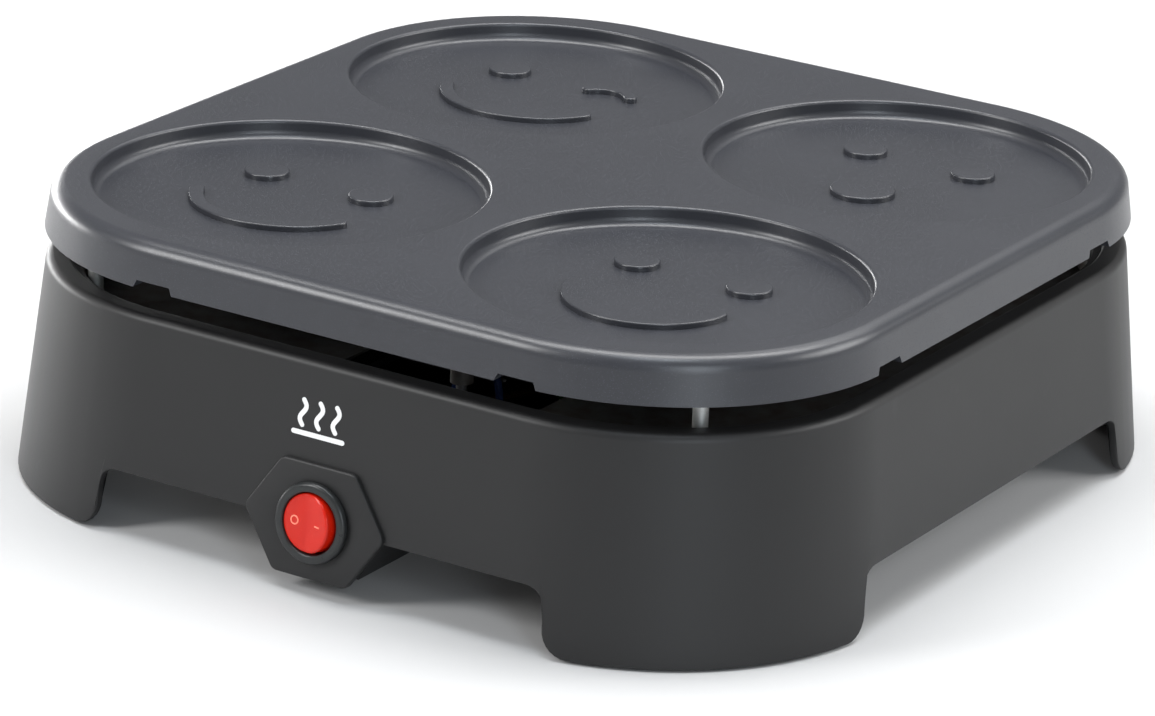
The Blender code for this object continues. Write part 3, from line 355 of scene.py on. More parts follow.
def insulation(name, colour, stripe=None):
    """Silicone wire cover, or a woven sleeve; a stripe runs round it in a slow spiral."""
    finish = Material(name, colour, Specular_IOR_Level=0.4)
    fine = finish.noise(0.5, 2.0, 0.6)
    darker = tuple(level * 0.75 for level in colour)
    ground = finish.mix(fine, darker, colour)
    if stripe:
        settings = {"wave_type": "BANDS", "bands_direction": "DIAGONAL"}
        bands = finish.node("ShaderNodeTexWave", settings, {"Vector": finish.where, "Scale": 90.0}, 1)
        ground = finish.mix(bands.step(0.45, 0.55), ground, stripe)
    finish.feed(Base_Color=ground, Roughness=0.45 + fine * 0.15)
    finish.bump(fine, 0.15, 0.04)
    return finish.material


def printed_white():
    finish = Material("printed_white", grey(0.8), Specular_IOR_Level=0.4)
    ink = finish.noise(0.4, 2.0, 0.6)
    finish.feed(Base_Color=finish.mix(ink, grey(0.74), grey(0.86)), Roughness=0.42 + ink * 0.14)
    finish.bump(ink, 0.08, 0.03)
    return finish.material


FINISHES = {
    "housing": moulded_plastic("housing", 0.013),
    "plate_coating": plate_coating(),
    "element_steel": metal("element_steel", 0.2, (1.0, 0.95, 0.9), 0.5, stain=0.8),
    "steel": metal("steel", 0.58, (1.0, 1.0, 1.02), 0.3),
    "reflector_sheet": metal("reflector_sheet", 0.16, (1.0, 0.98, 0.95), 0.55, (1.0, 0.04, 1.0), 0.6),
    "aluminium": metal("aluminium", 0.72, (1.0, 1.01, 0.99), 0.52),
    "switch_plastic": switch_plastic(),
    "rocker_red": rocker_plastic(),
    "brass": metal("brass", 0.72, (1.0, 0.78, 0.38), 0.28, (1.0, 1.0, 0.1), 0.25, (0.3, 0.17, 0.06)),
    "rubber": rubber("rubber"),
    "gland_rubber": rubber("gland_rubber", 0.026),
    "ceramic": ceramic(),
    "lamp_glass": lamp_glass(),
    "fuse_sleeve": metal("fuse_sleeve", 0.6, (1.0, 1.0, 0.98), 0.36, (1.0, 0.1, 1.0)),
    "wire_brown": insulation("wire_brown", (0.2, 0.09, 0.04)),
    "wire_blue": insulation("wire_blue", (0.02, 0.05, 0.17)),
    "wire_green": insulation("wire_green", (0.14, 0.42, 0.05), (0.72, 0.66, 0.04)),
    "wire_white": insulation("wire_white", (0.8, 0.8, 0.76)),
}
MARK_FINISH = mark_plastic()
PRINT_FINISH = printed_white()


# Shapes --------------------


def in_scene(name, data):
    made = bpy.data.objects.new(name, data)
    bpy.context.scene.collection.objects.link(made)
    return made


def evaluated_mesh(obj):
    """A new mesh of the object with its modifiers applied."""
    bpy.context.view_layer.update()
    return bpy.data.meshes.new_from_object(obj.evaluated_get(bpy.context.evaluated_depsgraph_get()))


def mesh_object(name, points, faces, finish, place=None, sharp=35):
    """A closed mesh from points in millimetres, placed by a matrix in millimetres."""
    mesh = bpy.data.meshes.new(name)
    put = place or Matrix()
    mesh.from_pydata([(put @ Vector(point)) * MM for point in points], [], faces)
    mesh.materials.append(finish)
    tidy(mesh, sharp)
    return in_scene(name, mesh)


def tidy(mesh, sharp=35):
    """Welds the mesh, turns its faces outwards and shades it smooth between sharp edges."""
    bm = bmesh.new()
    bm.from_mesh(mesh)
    bmesh.ops.remove_doubles(bm, verts=bm.verts, dist=0.000001)
    bmesh.ops.recalc_face_normals(bm, faces=bm.faces)
    bm.to_mesh(mesh)
    bm.free()
    mesh.shade_smooth()
    mesh.set_sharp_from_angle(angle=radians(sharp))


def discard(*objects):
    for obj in objects:
        bpy.data.objects.remove(obj, do_unlink=True)


def finished(obj, name):
    """The object as a plain mesh of that name, with even shading on its flats."""
    weigh = obj.modifiers.new("even shading", "WEIGHTED_NORMAL")
    weigh.keep_sharp = True
    weigh.weight = 60
    made = in_scene(name, evaluated_mesh(obj))
    made.data.name = name
    discard(obj)
    return made


def add_boolean(obj, tool, operation="DIFFERENCE"):
    modifier = obj.modifiers.new(operation, "BOOLEAN")
    modifier.operation = operation
    modifier.solver = "EXACT"
    modifier.object = tool


def applied(obj, *tools):
    """Applies the modifiers to the object's own mesh and removes the tools."""
    obj.data = evaluated_mesh(obj)
    obj.modifiers.clear()
    discard(*tools)


def joined(objects, name):
    """Several objects as one."""
    bm = bmesh.new()
    materials = []
    for obj in objects:
        start = len(bm.faces)
        bm.from_mesh(obj.data)
        bm.faces.ensure_lookup_table()
        for material in obj.data.materials:
            if material not in materials:
                materials.append(material)
        index = materials.index(obj.data.materials[0])
        for face in bm.faces[start:]:
            face.material_index = index
    mesh = bpy.data.meshes.new(name)
    bm.to_mesh(mesh)
    bm.free()
    for material in materials:
        mesh.materials.append(material)
    discard(*objects)
    mesh.shade_smooth()
    mesh.set_sharp_from_angle(angle=radians(35))
    return in_scene(name, mesh)


def keep(obj, slot, *nodes, body=BODY):
    """Hands the finished piece to the frame."""
    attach(obj, body)
    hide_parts(*nodes)


def circle(centre, radius, height, steps):
    turns = [2 * pi * i / steps for i in range(steps)]
    return [(centre[0] + radius * cos(a), centre[1] + radius * sin(a), height) for a in turns]


def quarter(*angles):
    """(1 - cosine, 1 - sine) of angles in degrees: how far a round edge has gone in, and has yet to rise."""
    return [(1 - cos(radians(a)), 1 - sin(radians(a))) for a in angles]


def arc(centre, radius, start, end, steps):
    span = [radians(start + (end - start) * i / steps) for i in range(steps + 1)]
    return [(centre[0] + radius * cos(a), centre[1] + radius * sin(a)) for a in span]


class Shell:
    """Points and faces gathered ring by ring."""

    def __init__(self):
        self.points = []
        self.faces = []

    def ring(self, points):
        start = len(self.points)
        self.points += points
        return list(range(start, start + len(points)))

    def bridge(self, first, second):
        self.faces += zip(first, first[1:] + first[:1], second[1:] + second[:1], second)

    def chain(self, rings):
        """Joins rings of points and gives the numbers of the first and last."""
        numbers = [self.ring(ring) for ring in rings]
        for first, second in zip(numbers, numbers[1:]):
            self.bridge(first, second)
        return numbers[0], numbers[-1]

    def fill(self, loops):
        """A flat face with holes."""
        numbers = [number for loop in loops for number in loop]
        for triangle in tessellate_polygon([[Vector(self.points[n]) for n in loop] for loop in loops]):
            self.faces.append(tuple(numbers[i] for i in triangle))


def lofted(rings, capped=True):
    """Points and faces of rings with equal counts, joined one to the next."""
    shell = Shell()
    first, last = shell.chain(rings)
    if capped:
        shell.faces += [tuple(first[::-1]), tuple(last)]
    return shell.points, shell.faces


def turned(name, profile, finish, place=None, steps=64, sharp=35, ring=False):
    """A profile of (radius, height) turned about its own Z; a ring's profile closes on itself."""
    rings = [circle((0, 0), radius, height, steps) for radius, height in profile]
    if ring:
        rings.append(rings[0])
    return mesh_object(name, *lofted(rings, not ring), finish, place, sharp)


def bend(before, corner, after, radius):
    """The centre of the arc that rounds a corner, and the vectors from it to the arc's two ends."""
    here = Vector(corner)
    back, on = (Vector(before) - here).normalized(), (Vector(after) - here).normalized()
    half = back.angle(on) / 2
    centre = here + (back + on).normalized() * radius / sin(half)
    return centre, *(here + along * radius * cos(half) / sin(half) - centre for along in (back, on))


def rounded_profile(corners, steps=4):
    """Profile points with arcs at corners given as (radius, height, rounding)."""
    points = []
    for i, (r, z, rounding) in enumerate(corners):
        if not rounding:
            points.append((r, z))
            continue
        centre, first, last = bend(corners[i - 1][:2], (r, z), corners[(i + 1) % len(corners)][:2], rounding)
        turn = -first.angle_signed(last) / steps
        points += [tuple(centre + Matrix.Rotation(turn * step, 2) @ first) for step in range(steps + 1)]
    return points


def flat(name, outlines, bottom, top, finish, place=None, rounding=0.0):
    """A flat piece cut to closed outlines, with rounded edges."""
    curve = bpy.data.curves.new(name, "CURVE")
    curve.dimensions = "2D"
    curve.fill_mode = "BOTH"
    curve.extrude = ((top - bottom) / 2 - rounding) * MM
    curve.bevel_depth = rounding * MM
    curve.bevel_resolution = 2
    curve.offset = -rounding * MM
    for outline in outlines:
        spline = curve.splines.new("POLY")
        spline.points.add(len(outline) - 1)
        spline.use_cyclic_u = True
        for point, (x, y) in zip(spline.points, outline):
            point.co = (x * MM, y * MM, 0, 1)
    guide = in_scene(name, curve)
    mesh = evaluated_mesh(guide)
    discard(guide)
    put = place or Matrix()
    lift = Matrix.Translation((0, 0, (bottom + top) / 2))
    for vertex in mesh.vertices:
        vertex.co = (put @ lift @ (vertex.co / MM)) * MM
    mesh.materials.clear()
    mesh.materials.append(finish)
    tidy(mesh)
    return in_scene(name, mesh)


def tube(name, route, radius, finish, sides=16):
    """A round tube along points, each section square to its path."""
    path = [Vector(point) for point in route]
    rings = []
    side = None
    for i, point in enumerate(path):
        along = (path[min(i + 1, len(path) - 1)] - path[max(i - 1, 0)]).normalized()
        side = side or along.orthogonal()
        side = (side - along * side.dot(along)).normalized()
        other = along.cross(side)
        turns = [2 * pi * k / sides for k in range(sides)]
        rings.append([tuple(point + (side * cos(a) + other * sin(a)) * radius) for a in turns])
    return mesh_object(name, *lofted(rings), finish, sharp=50)


# The rounded square outline --------------------


def outline_point(station, half, corner):
    """A point of a rounded rectangle. Stations run 0 to 8: even ones are sides, odd ones corners."""
    number = int(floor(station)) % 8
    share = station - floor(station)
    turn, middle = number // 2, (half[0] - corner, half[1] - corner)
    across = middle if turn % 2 == 0 else middle[::-1]
    out = half[1] if turn % 2 == 0 else half[0]
    if number % 2 == 0:
        along, away = across[0] * (2 * share - 1), out
    else:
        angle = radians(90 * share)
        along, away = across[0] + corner * sin(angle), out - corner + corner * cos(angle)
    return ((along, -away), (away, along), (-along, away), (-away, -along))[turn]


def station_at(side, along, half, corner):
    """The station where a side's outline is that far along, going on round the corners at its ends."""
    straight = (half[0] if side % 2 == 0 else half[1]) - corner
    if abs(along) <= straight:
        return 2 * side + (along + straight) / (2 * straight)
    beyond = 1 - degrees(acos(min(1.0, (abs(along) - straight) / corner))) / 90
    return 2 * side + 1 + beyond if along > 0 else 2 * side - beyond


def even_stations(per_corner, per_side):
    stations = []
    for number in range(8):
        count = per_corner if number % 2 else per_side
        stations += [number + i / count for i in range(count)]
    return stations


def base_section(height):
    share = 1 - height / BASE_TOP
    half = [top + flare * share for top, flare in zip(BASE_TOP_HALF, BASE_FLARE)]
    return half, BASE_TOP_CORNER + FLARE_CORNER * share


def base_point(station, height, inset=0.0):
    half, corner = base_section(height)
    x, y = outline_point(station, [side - inset for side in half], corner - inset)
    return (x, y, height)


def wall_frame(x, height, back=False):
    """A matrix on the front or rear wall's face: +Z out of the wall, +Y up it."""
    half, _ = base_section(height)
    y = half[1] if back else -half[1]
    turn = Matrix.Rotation(pi if back else 0, 4, "Z") @ Matrix.Rotation(pi / 2 - LEAN, 4, "X")
    return Matrix.Translation((x, y, height)) @ turn


PANEL = wall_frame(0, PANEL_CENTRE)
GLAND = wall_frame(*GLAND_AT, back=True)


# Base housing --------------------


def arch_edge(half_width, tab):
    """The wall's lower edge along one side: foot, toe, arch, and in front the tab that carries the switch."""
    toe_top = FOOT_LIFT + FOOT_ROUND
    toe = arc((half_width + FOOT_ROUND, toe_top), FOOT_ROUND, 270, 180, 7)
    head = arc((half_width - ARCH_ROUND, ARCH_TOP - ARCH_ROUND), ARCH_ROUND, 0, 90, 6)
    right = toe + [(half_width, toe_top + 2.3)] + head
    right += [(head[-1][0] - back, ARCH_TOP) for back in (12, 26, 38)]
    if tab:
        low = PANEL_CENTRE - PANEL_HALF_HEIGHT + 0.6
        right += [(21.4, ARCH_TOP), (18.2, 14.2), (14.6, 8.9), (13.2, 6.7), (12.0, 5.3)]
        right += [(10.4, low), (5.0, low)]
    else:
        right += [(15, ARCH_TOP), (5, ARCH_TOP)]
    return [(-x, z) for x, z in right] + right[::-1]


def edge_inwards(edge):
    """For each point of a lower edge, the direction into the wall's material, square to the edge."""
    inwards = []
    for i in range(len(edge)):
        (x0, z0), (x1, z1) = edge[max(i - 1, 0)], edge[min(i + 1, len(edge) - 1)]
        inwards.append(Vector((z0 - z1, x1 - x0)).normalized())
    return inwards


def base_columns():
    """For every column of the wall: its station at the rim, and its foot at each step of the edge's rounding.

    The rim stations are drawn part of the way from the foot's to evenly spaced ones, so the columns fan out.
    """
    columns = []
    for side in range(4):
        edge = arch_edge(ARCH_HALF[side % 2], side == 0)
        inwards = edge_inwards(edge)
        stations = []
        for (along, height), inward in zip(edge, inwards):
            feet = []
            for raise_by in EDGE_STEPS:
                x, z = along + inward.x * raise_by, height + inward.y * raise_by
                half, corner = base_section(z)
                feet.append((station_at(side, x, half, corner), z))
            stations.append(feet)
        first, last = stations[0][0][0], stations[-1][0][0]
        for i, feet in enumerate(stations):
            even = first + (last - first) * i / (len(stations) - 1)
            columns.append(((1 - RIM_EVENNESS) * feet[0][0] + RIM_EVENNESS * even, feet))
        half, corner = base_section(FOOT_LIFT)
        following = station_at((side + 1) % 4, -ARCH_HALF[(side + 1) % 2] - FOOT_ROUND, half, corner)
        following += 8 if side == 3 else 0
        for i in range(1, CORNER_COLUMNS):
            station = last + (following - last) * i / CORNER_COLUMNS
            columns.append((station, [(station, FOOT_LIFT + raise_by) for raise_by in EDGE_STEPS]))
    return columns


def make_base():
    """The moulded housing as one wall: up outside, over the rim, down the recess, and back underneath."""
    columns = base_columns()
    rims = [rim for rim, _ in columns]
    wall, wall_top = BASE_WALL, BASE_TOP - RIM_ROUND
    half, corner = base_section(BASE_TOP)

    def climb(inset, top, rows):
        """Rows of points from the lower edge's rounding to a level line."""
        ends = [(Vector(feet[-1]), Vector((rim, top))) for rim, feet in columns]
        shares = [row / rows for row in range(rows + 1)]
        return [[base_point(*low.lerp(high, share), inset) for low, high in ends] for share in shares]

    def recess(inset, height):
        return [(*outline_point(s, [side - inset for side in half], corner - inset), height) for s in rims]

    first_step = EDGE_STEPS[1]
    under_edge = [[base_point(*feet[step], inset) for _, feet in columns]
                  for step, inset in ((1, wall - first_step), (0, wall - EDGE), (0, EDGE), (1, first_step))]
    rows = climb(wall, BASE_TOP - wall, 6)[::-1] + under_edge + climb(0.0, wall_top, 14)
    for gone_in, to_rise in quarter(18, 36, 54, 72, 90):
        inset, height = RIM_ROUND * gone_in, BASE_TOP - RIM_ROUND * to_rise
        rows.append([(*base_point(s, wall_top, inset)[:2], height) for s in rims])
    for sunk, short in quarter(0, 30, 60, 90):
        rows.append(recess(LEDGE - LIP_ROUND * short, BASE_TOP - LIP_ROUND * sunk))
    side = LEDGE + RECESS_DRAFT
    for gone_in, short in quarter(0, 30, 60, 90):
        rows.append(recess(side + RECESS_ROUND * gone_in, RECESS_FLOOR + RECESS_ROUND * short))
    for height in (RECESS_FLOOR, RECESS_FLOOR - wall):
        rows.append([(x, y, height) for x, y in window_ring(rims)])
    rows += [recess(side + wall, RECESS_FLOOR - wall), recess(LEDGE + wall, BASE_TOP - wall), rows[0]]
    shell = mesh_object("base_shell", *lofted(rows, capped=False), FINISHES["housing"], sharp=40)
    holes = []
    for name, radius, place in (("switch", SWITCH_HOLE / 2, PANEL), ("gland", GLAND_HOLE / 2, GLAND)):
        holes.append(turned(f"{name}_hole", [(radius, 9), (radius, -9)], FINISHES["housing"], place, 64))
        add_boolean(shell, holes[-1])
    applied(shell, *holes)
    supports = [make_foot_column(i) for i in range(1, 5)]
    keep(joined([finished(shell, "base_wall"), make_panel(), *supports], "base"), "housing", "base_housing")


def window_ring(stations):
    """The opening for the wires in the recess floor, with a point for every column of the wall."""
    (left, right), (front, back) = WINDOW_X, WINDOW_Y
    flats = [outline_point(s, ((right - left) / 2, (back - front) / 2), WINDOW_CORNER) for s in stations]
    return [(x + (left + right) / 2, y + (front + back) / 2) for x, y in flats]


def make_panel():
    """The hexagonal switch panel that stands off the wall and hangs below the arch."""
    wide, high, top = PANEL_HALF_WIDTH, PANEL_HALF_HEIGHT, PANEL_TOP_HALF
    corners = [(-top, high), (-wide, 0), (-top, -high), (top, -high), (wide, 0), (top, high)]
    outline = rounded_profile([(*corner, PANEL_ROUND) for corner in corners], 6)
    hole = arc((0, 0), SWITCH_HOLE / 2, 360, 0, 64)[:-1]
    return flat("panel", [outline, hole], -1.2, PANEL_RISE, FINISHES["housing"], PANEL, 0.55)


def make_foot_column(number):
    """The short column that holds a rubber pad inside a foot."""
    corners = [(0, 10, 0), (7, 10, 0.6), (7, 1.5, 0.4), (5.3, 1.5, 0.3), (5.3, 3.4, 0), (0, 3.4, 0)]
    place = above(f"foot_pad_{number}")
    return turned(f"column_{number}", rounded_profile(corners, 3), FINISHES["housing"], place, 40)


# Cooking plate --------------------


def plate_ring(stations, inset, height):
    half = [side - inset for side in PLATE_HALF]
    return [(*outline_point(s, half, PLATE_CORNER - inset), height) for s in stations]


WELLS = [(sx * WELL[0], sy * WELL[1]) for sy in (-1, 1) for sx in (-1, 1)]
WELL_STEPS = 128


def well_rings(centre):
    """From the plate's top over the rim and down the side to the floor."""
    sections = [(WELL_RADIUS + WELL_RIM_ROUND * short, PLATE_TOP - WELL_RIM_ROUND * sunk)
                for sunk, short in quarter(0, 18, 36, 54, 72, 90)]
    sections += [(WELL_RADIUS - WELL_FOOT_ROUND * gone_in, WELL_FLOOR + WELL_FOOT_ROUND * short)
                 for gone_in, short in quarter(0, 15, 30, 45, 60, 75, 90)]
    return [circle(centre, radius, height, WELL_STEPS) for radius, height in sections]


def make_plate():
    stations = even_stations(28, 20)
    shell = Shell()
    outer = [plate_ring(stations, -SKIRT_DRAFT * (1 - share), SKIRT_FOOT + (SKIRT - EDGE_ROUND) * share)
             for share in (0, 0.25, 0.5, 0.75, 1)]
    outer += [plate_ring(stations, EDGE_ROUND * gone_in, PLATE_TOP - EDGE_ROUND * to_rise)
              for gone_in, to_rise in quarter(15, 30, 45, 60, 75, 90)]
    foot, top = shell.chain(outer)
    rims = []
    for centre in WELLS:
        rim, floor_ring = shell.chain(well_rings(centre))
        rims.append(rim)
        shell.fill([floor_ring])
    shell.fill([top, *rims])
    under, outside = PLATE_TOP - PLATE_SKIN, WELL_RADIUS + PLATE_SKIN
    inner = [plate_ring(stations, PLATE_SKIN, SKIRT_FOOT)]
    inner += [plate_ring(stations, PLATE_SKIN + UNDER_ROUND * gone_in, under - UNDER_ROUND * to_rise)
              for gone_in, to_rise in quarter(0, 30, 60, 90)]
    inner_foot, inner_top = shell.chain(inner)
    shell.bridge(foot, inner_foot)
    cup = [(outside, under)]
    cup += [(outside - UNDER_ROUND * gone_in, CUP_BOTTOM + UNDER_ROUND * short)
            for gone_in, short in quarter(0, 30, 60, 90)]
    cups = []
    for centre in WELLS:
        start, end = shell.chain([circle(centre, radius, height, 96) for radius, height in cup])
        cups.append(start)
        shell.fill([end])
    shell.fill([inner_top, *cups])
    plate = mesh_object("plate_shell", shell.points, shell.faces, FINISHES["plate_coating"], sharp=40)
    finish, tools = FINISHES["plate_coating"], []

    def use(tool, operation):
        tools.append(tool)
        add_boolean(plate, tool, operation)

    for node, radius, height in plate_bosses():
        head = CUP_BOTTOM + 1.5
        profile = [(0, head), (radius, head), (radius, height), (0, height)]
        use(turned(f"boss_{node}", profile, finish, above(node), 32), "UNION")
    for at, kind in zip(WELLS, FACES):
        for outline in kind():
            place = Matrix.Translation((*at, 0))
            use(flat("relief", [outline], WELL_FLOOR - 1, WELL_FLOOR + RELIEF, finish, place, 0.5), "UNION")
    for side, place in enumerate(NOTCH):
        for sign in (-1, 1):
            use(notch_cutter(sign * place, side), "DIFFERENCE")
    applied(plate, *tools)
    tidy(plate.data, 40)
    keep(finished(plate, "plate"), "plate_coating", "cooking_plate")


def plate_bosses():
    """(a node that stands on the boss's axis, the boss's radius, the height of its foot)"""
    found = [(f"plate_post_{i}", 5.5, SKIRT_FOOT - 1) for i in range(1, 5)]
    clamp_top = box_mm("element_clamp_1")[1].z + GAP
    found += [(f"clamp_screw_{i}", 4.5, clamp_top) for i in range(1, 4)]
    return found


def notch_cutter(place, side):
    """Runs through both skirts that face each other, with sides that slope."""
    slope, half, reach = NOTCH_HEIGHT * 0.7, NOTCH_WIDTH / 2, 150
    outline = [(place - half - slope, SKIRT_FOOT - 1), (place + half + slope, SKIRT_FOOT - 1),
               (place + half, SKIRT_FOOT + NOTCH_HEIGHT), (place - half, SKIRT_FOOT + NOTCH_HEIGHT)]
    turn = Matrix.Rotation(pi / 2 if side else 0, 4, "Z") @ Matrix.Rotation(pi / 2, 4, "X")
    return flat("notch", [outline], -reach, reach, FINISHES["plate_coating"], turn)


# The raised faces in the wells --------------------


def band(centre, radius, width, start, end, steps=48):
    """The outline of a curved strip with round ends."""
    outline = arc(centre, radius + width / 2, start, end, steps)
    for angle, first, back in ((end, end, True), (start, start + 180, False)):
        middle = (centre[0] + radius * cos(radians(angle)), centre[1] + radius * sin(radians(angle)))
        outline += arc(middle, width / 2, first, first + 180, 8)[1:-1]
        if back:
            outline += arc(centre, radius - width / 2, end, start, steps)
    return outline


def round_eye(x):
    return arc((x, 14), 6.5, 0, 360, 56)[:-1]


def smile():
    return [round_eye(-18), round_eye(18), band((0, 0), 27, 4.4, 205, 335)]


def grin():
    mouth = [(-25, -8), *arc((0, -8), 25, 192, 348, 60), (25, -8)]
    return [round_eye(-18), round_eye(18), rounded_profile([(*p, 2 if p[1] == -8 else 0) for p in mouth], 4)]


def wink():
    return [round_eye(-18), band((19, 7), 9, 4, 35, 145, 14), band((0, 0), 27, 4.4, 205, 335)]


def surprise():
    return [round_eye(-18), round_eye(18), arc((0, -20), 9.5, 0, 360, 48)[:-1]]


FACES = (smile, grin, wink, surprise)


# Switch --------------------

SWITCH_FACE = PANEL_RISE + GAP + 1.9
BORE = 8.8
BEZEL = 11.45
BARREL_LENGTH = 20.0
THROAT = 8.5                   # depth of the wide part of the bore
ROCKER_RADIUS = 8.3
ROCKER_TILT = 10.0
ROCKER_VEE = 8.0
ROCKER_RIM = 4.7               # height of the button's rim over its axis
ROCKER_EDGE = 0.7
PIN_RADIUS = 0.8


def make_switch():
    """The round body: a soft-edged ring on the panel, a deep throat for the button and a barrel behind."""
    face, back, seat = SWITCH_FACE, SWITCH_FACE - BARREL_LENGTH, PANEL_RISE + GAP
    barrel, narrow, middle = SWITCH_HOLE / 2 - GAP, BORE - 1.5, 0.01
    corners = [
        (BORE, face, 0.45), (BEZEL, face, 1.15), (BEZEL, seat, 0.15), (barrel, seat, 0), (barrel, back, 0.6),
        (middle, back, 0), (middle, back + 2, 0), (narrow, back + 2, 0), (narrow, face - THROAT, 0.3),
        (BORE, face - THROAT, 0),
    ]
    profile = rounded_profile(corners, 6)
    body = turned("switch_ring", profile, FINISHES["switch_plastic"], PANEL, 96, 38, ring=True)
    keep(body, "switch_plastic", "switch_body")


def rocker_height(x, y):
    """The button's face: two shallow dished slopes that meet along its middle."""
    fold = sqrt(x * x + 0.25)
    dish = 0.16 * (1 - (y / ROCKER_RADIUS) ** 2)
    return ROCKER_RIM + (fold - ROCKER_RADIUS) * sin(radians(ROCKER_VEE)) - dish * min(1.0, abs(x) / 3)


def make_rocker():
    """The red button, tipped to OFF at rest, with its two raised marks."""
    steps, finish, centre = 96, FINISHES["rocker_red"], (0, 0)
    upright = Matrix.Translation(HINGE_AT) @ Matrix.Rotation(pi / 2 - LEAN, 4, "X")
    place = upright @ Matrix.Rotation(-radians(ROCKER_TILT), 4, "Y")
    rings = [circle(centre, ROCKER_RADIUS - 1.1, -2.2, steps), circle(centre, ROCKER_RADIUS, -0.6, steps)]
    sections = [(ROCKER_RADIUS - ROCKER_EDGE * gone_in, ROCKER_EDGE * to_rise)
                for gone_in, to_rise in quarter(0, 22.5, 45, 67.5, 90)]
    sections += [((ROCKER_RADIUS - ROCKER_EDGE) * (1 - i / 26), 0.0) for i in range(1, 26)]
    for radius, drop in sections:
        rings.append([(x, y, rocker_height(x, y) - drop) for x, y, _ in circle(centre, radius, 0, steps)])
    button = mesh_object("button", *lofted(rings), finish, place, 50)
    reach = ROCKER_RADIUS + 1.1
    across = place @ Matrix.Rotation(pi / 2, 4, "X")
    pins = lofted([circle(centre, PIN_RADIUS, z, 24) for z in (-reach, reach)])
    axle = mesh_object("pins", *pins, finish, across)
    ring = arc((-4.3, 0), 1.15, 0, 360, 40)
    bar = [(3.2 + 1.9 * i / 8, 0.0) for i in range(9)]
    marks = []
    for name, route in (("off", ring), ("on", bar)):
        raised = [tuple(place @ Vector((x, y, rocker_height(x, y) + 0.02))) for x, y in route]
        marks.append(tube(f"mark_{name}", raised, 0.2, MARK_FINISH, 10))
    keep(joined([button, axle, *marks], "rocker_red_button"), "rocker_red", "rocker", body=BUTTON)


# Cord bush, posts, pads, element --------------------


def make_gland():
    hole = GLAND_HOLE / 2
    outer = hole + 2.5
    corners = [
        (4.3, 5.0, 0.4), (5.7, 5.0, 0.8), (6.6, 3.9, 0.3), (7.2, 3.9, 0.3), (outer, 2.2, 0.5),
        (outer, GAP, 0.3),
        (hole - GAP, GAP, 0), (hole - GAP, -BASE_WALL - 4, 0.5), (3.7, -BASE_WALL - 4, 0.3), (3.7, 4.4, 0.2),
    ]
    profile = rounded_profile(corners, 4)
    bush = turned("cord_bush", profile, FINISHES["gland_rubber"], GLAND, 64, 38, ring=True)
    keep(bush, "gland_rubber", "cord_gland")


POST_WAIST = 0.78


def make_posts():
    for number in range(1, 5):
        node, bore = f"plate_post_{number}", 1.8
        low, high = box_mm(node)
        waist = (high.x - low.x) / 2 * POST_WAIST
        corners = [(bore, high.z, 0.05), (waist, high.z, 0.15), (waist, low.z, 0.15), (bore, low.z, 0.05)]
        profile = rounded_profile(corners, 3)
        post = turned(f"post_{number}", profile, FINISHES["aluminium"], above(node), 40, 40, ring=True)
        keep(post, "aluminium", node)


def make_pads():
    for number in range(1, 5):
        node = f"foot_pad_{number}"
        low, high = box_mm(node)
        radius = (high.x - low.x) / 2
        corners = [
            (0, high.z, 0), (radius, high.z, 0.3), (radius, 0, 0.6), (radius - 1.3, 0, 0.2),
            (radius - 1.6, 0.4, 0.2), (radius - 2.2, 0.4, 0.2), (radius - 2.5, 0, 0.2), (0.8, 0, 0.2),
            (0.6, 0.5, 0), (0, 0.5, 0),
        ]
        pad = turned(f"pad_{number}", rounded_profile(corners, 3), FINISHES["rubber"], above(node), 48, 40)
        keep(pad, "rubber", node)


def bent_route(corners, radii, steps=10):
    """A route with straight runs between corners and a round bend at each inner corner."""
    route = [Vector(corners[0])]
    for before, corner, after, radius in zip(corners, corners[1:], corners[2:], radii):
        centre, first, last = bend(before, corner, after, radius)
        first, last = first.normalized(), last.normalized()
        route += [centre + first.slerp(last, i / steps) * radius for i in range(steps + 1)]
    return [*route, Vector(corners[-1])]


def make_element():
    """The heater tube: down at each terminal, and one loop under the wells."""
    low, high = box_mm("heating_element")
    radius, wide, tight = 3.25, 44.0, 9.0
    x, y, z = (side - radius for side in high)
    first, last = (above(f"element_terminal_{name}").translation for name in "ab")
    corners = [
        (first.x, first.y, low.z), (first.x, first.y, z), (first.x, -y, z), (x, -y, z), (x, y, z), (-x, y, z),
        (-x, -y, z), (last.x, last.y, z), (last.x, last.y, low.z),
    ]
    route = bent_route(corners, [tight, tight, wide / 2, wide, wide, wide, tight])
    heater = tube("heater_tube", route, radius, FINISHES["element_steel"], 20)
    keep(heater, "element_steel", "heating_element")


# Screws under the cover, by Geometry Nodes --------------------


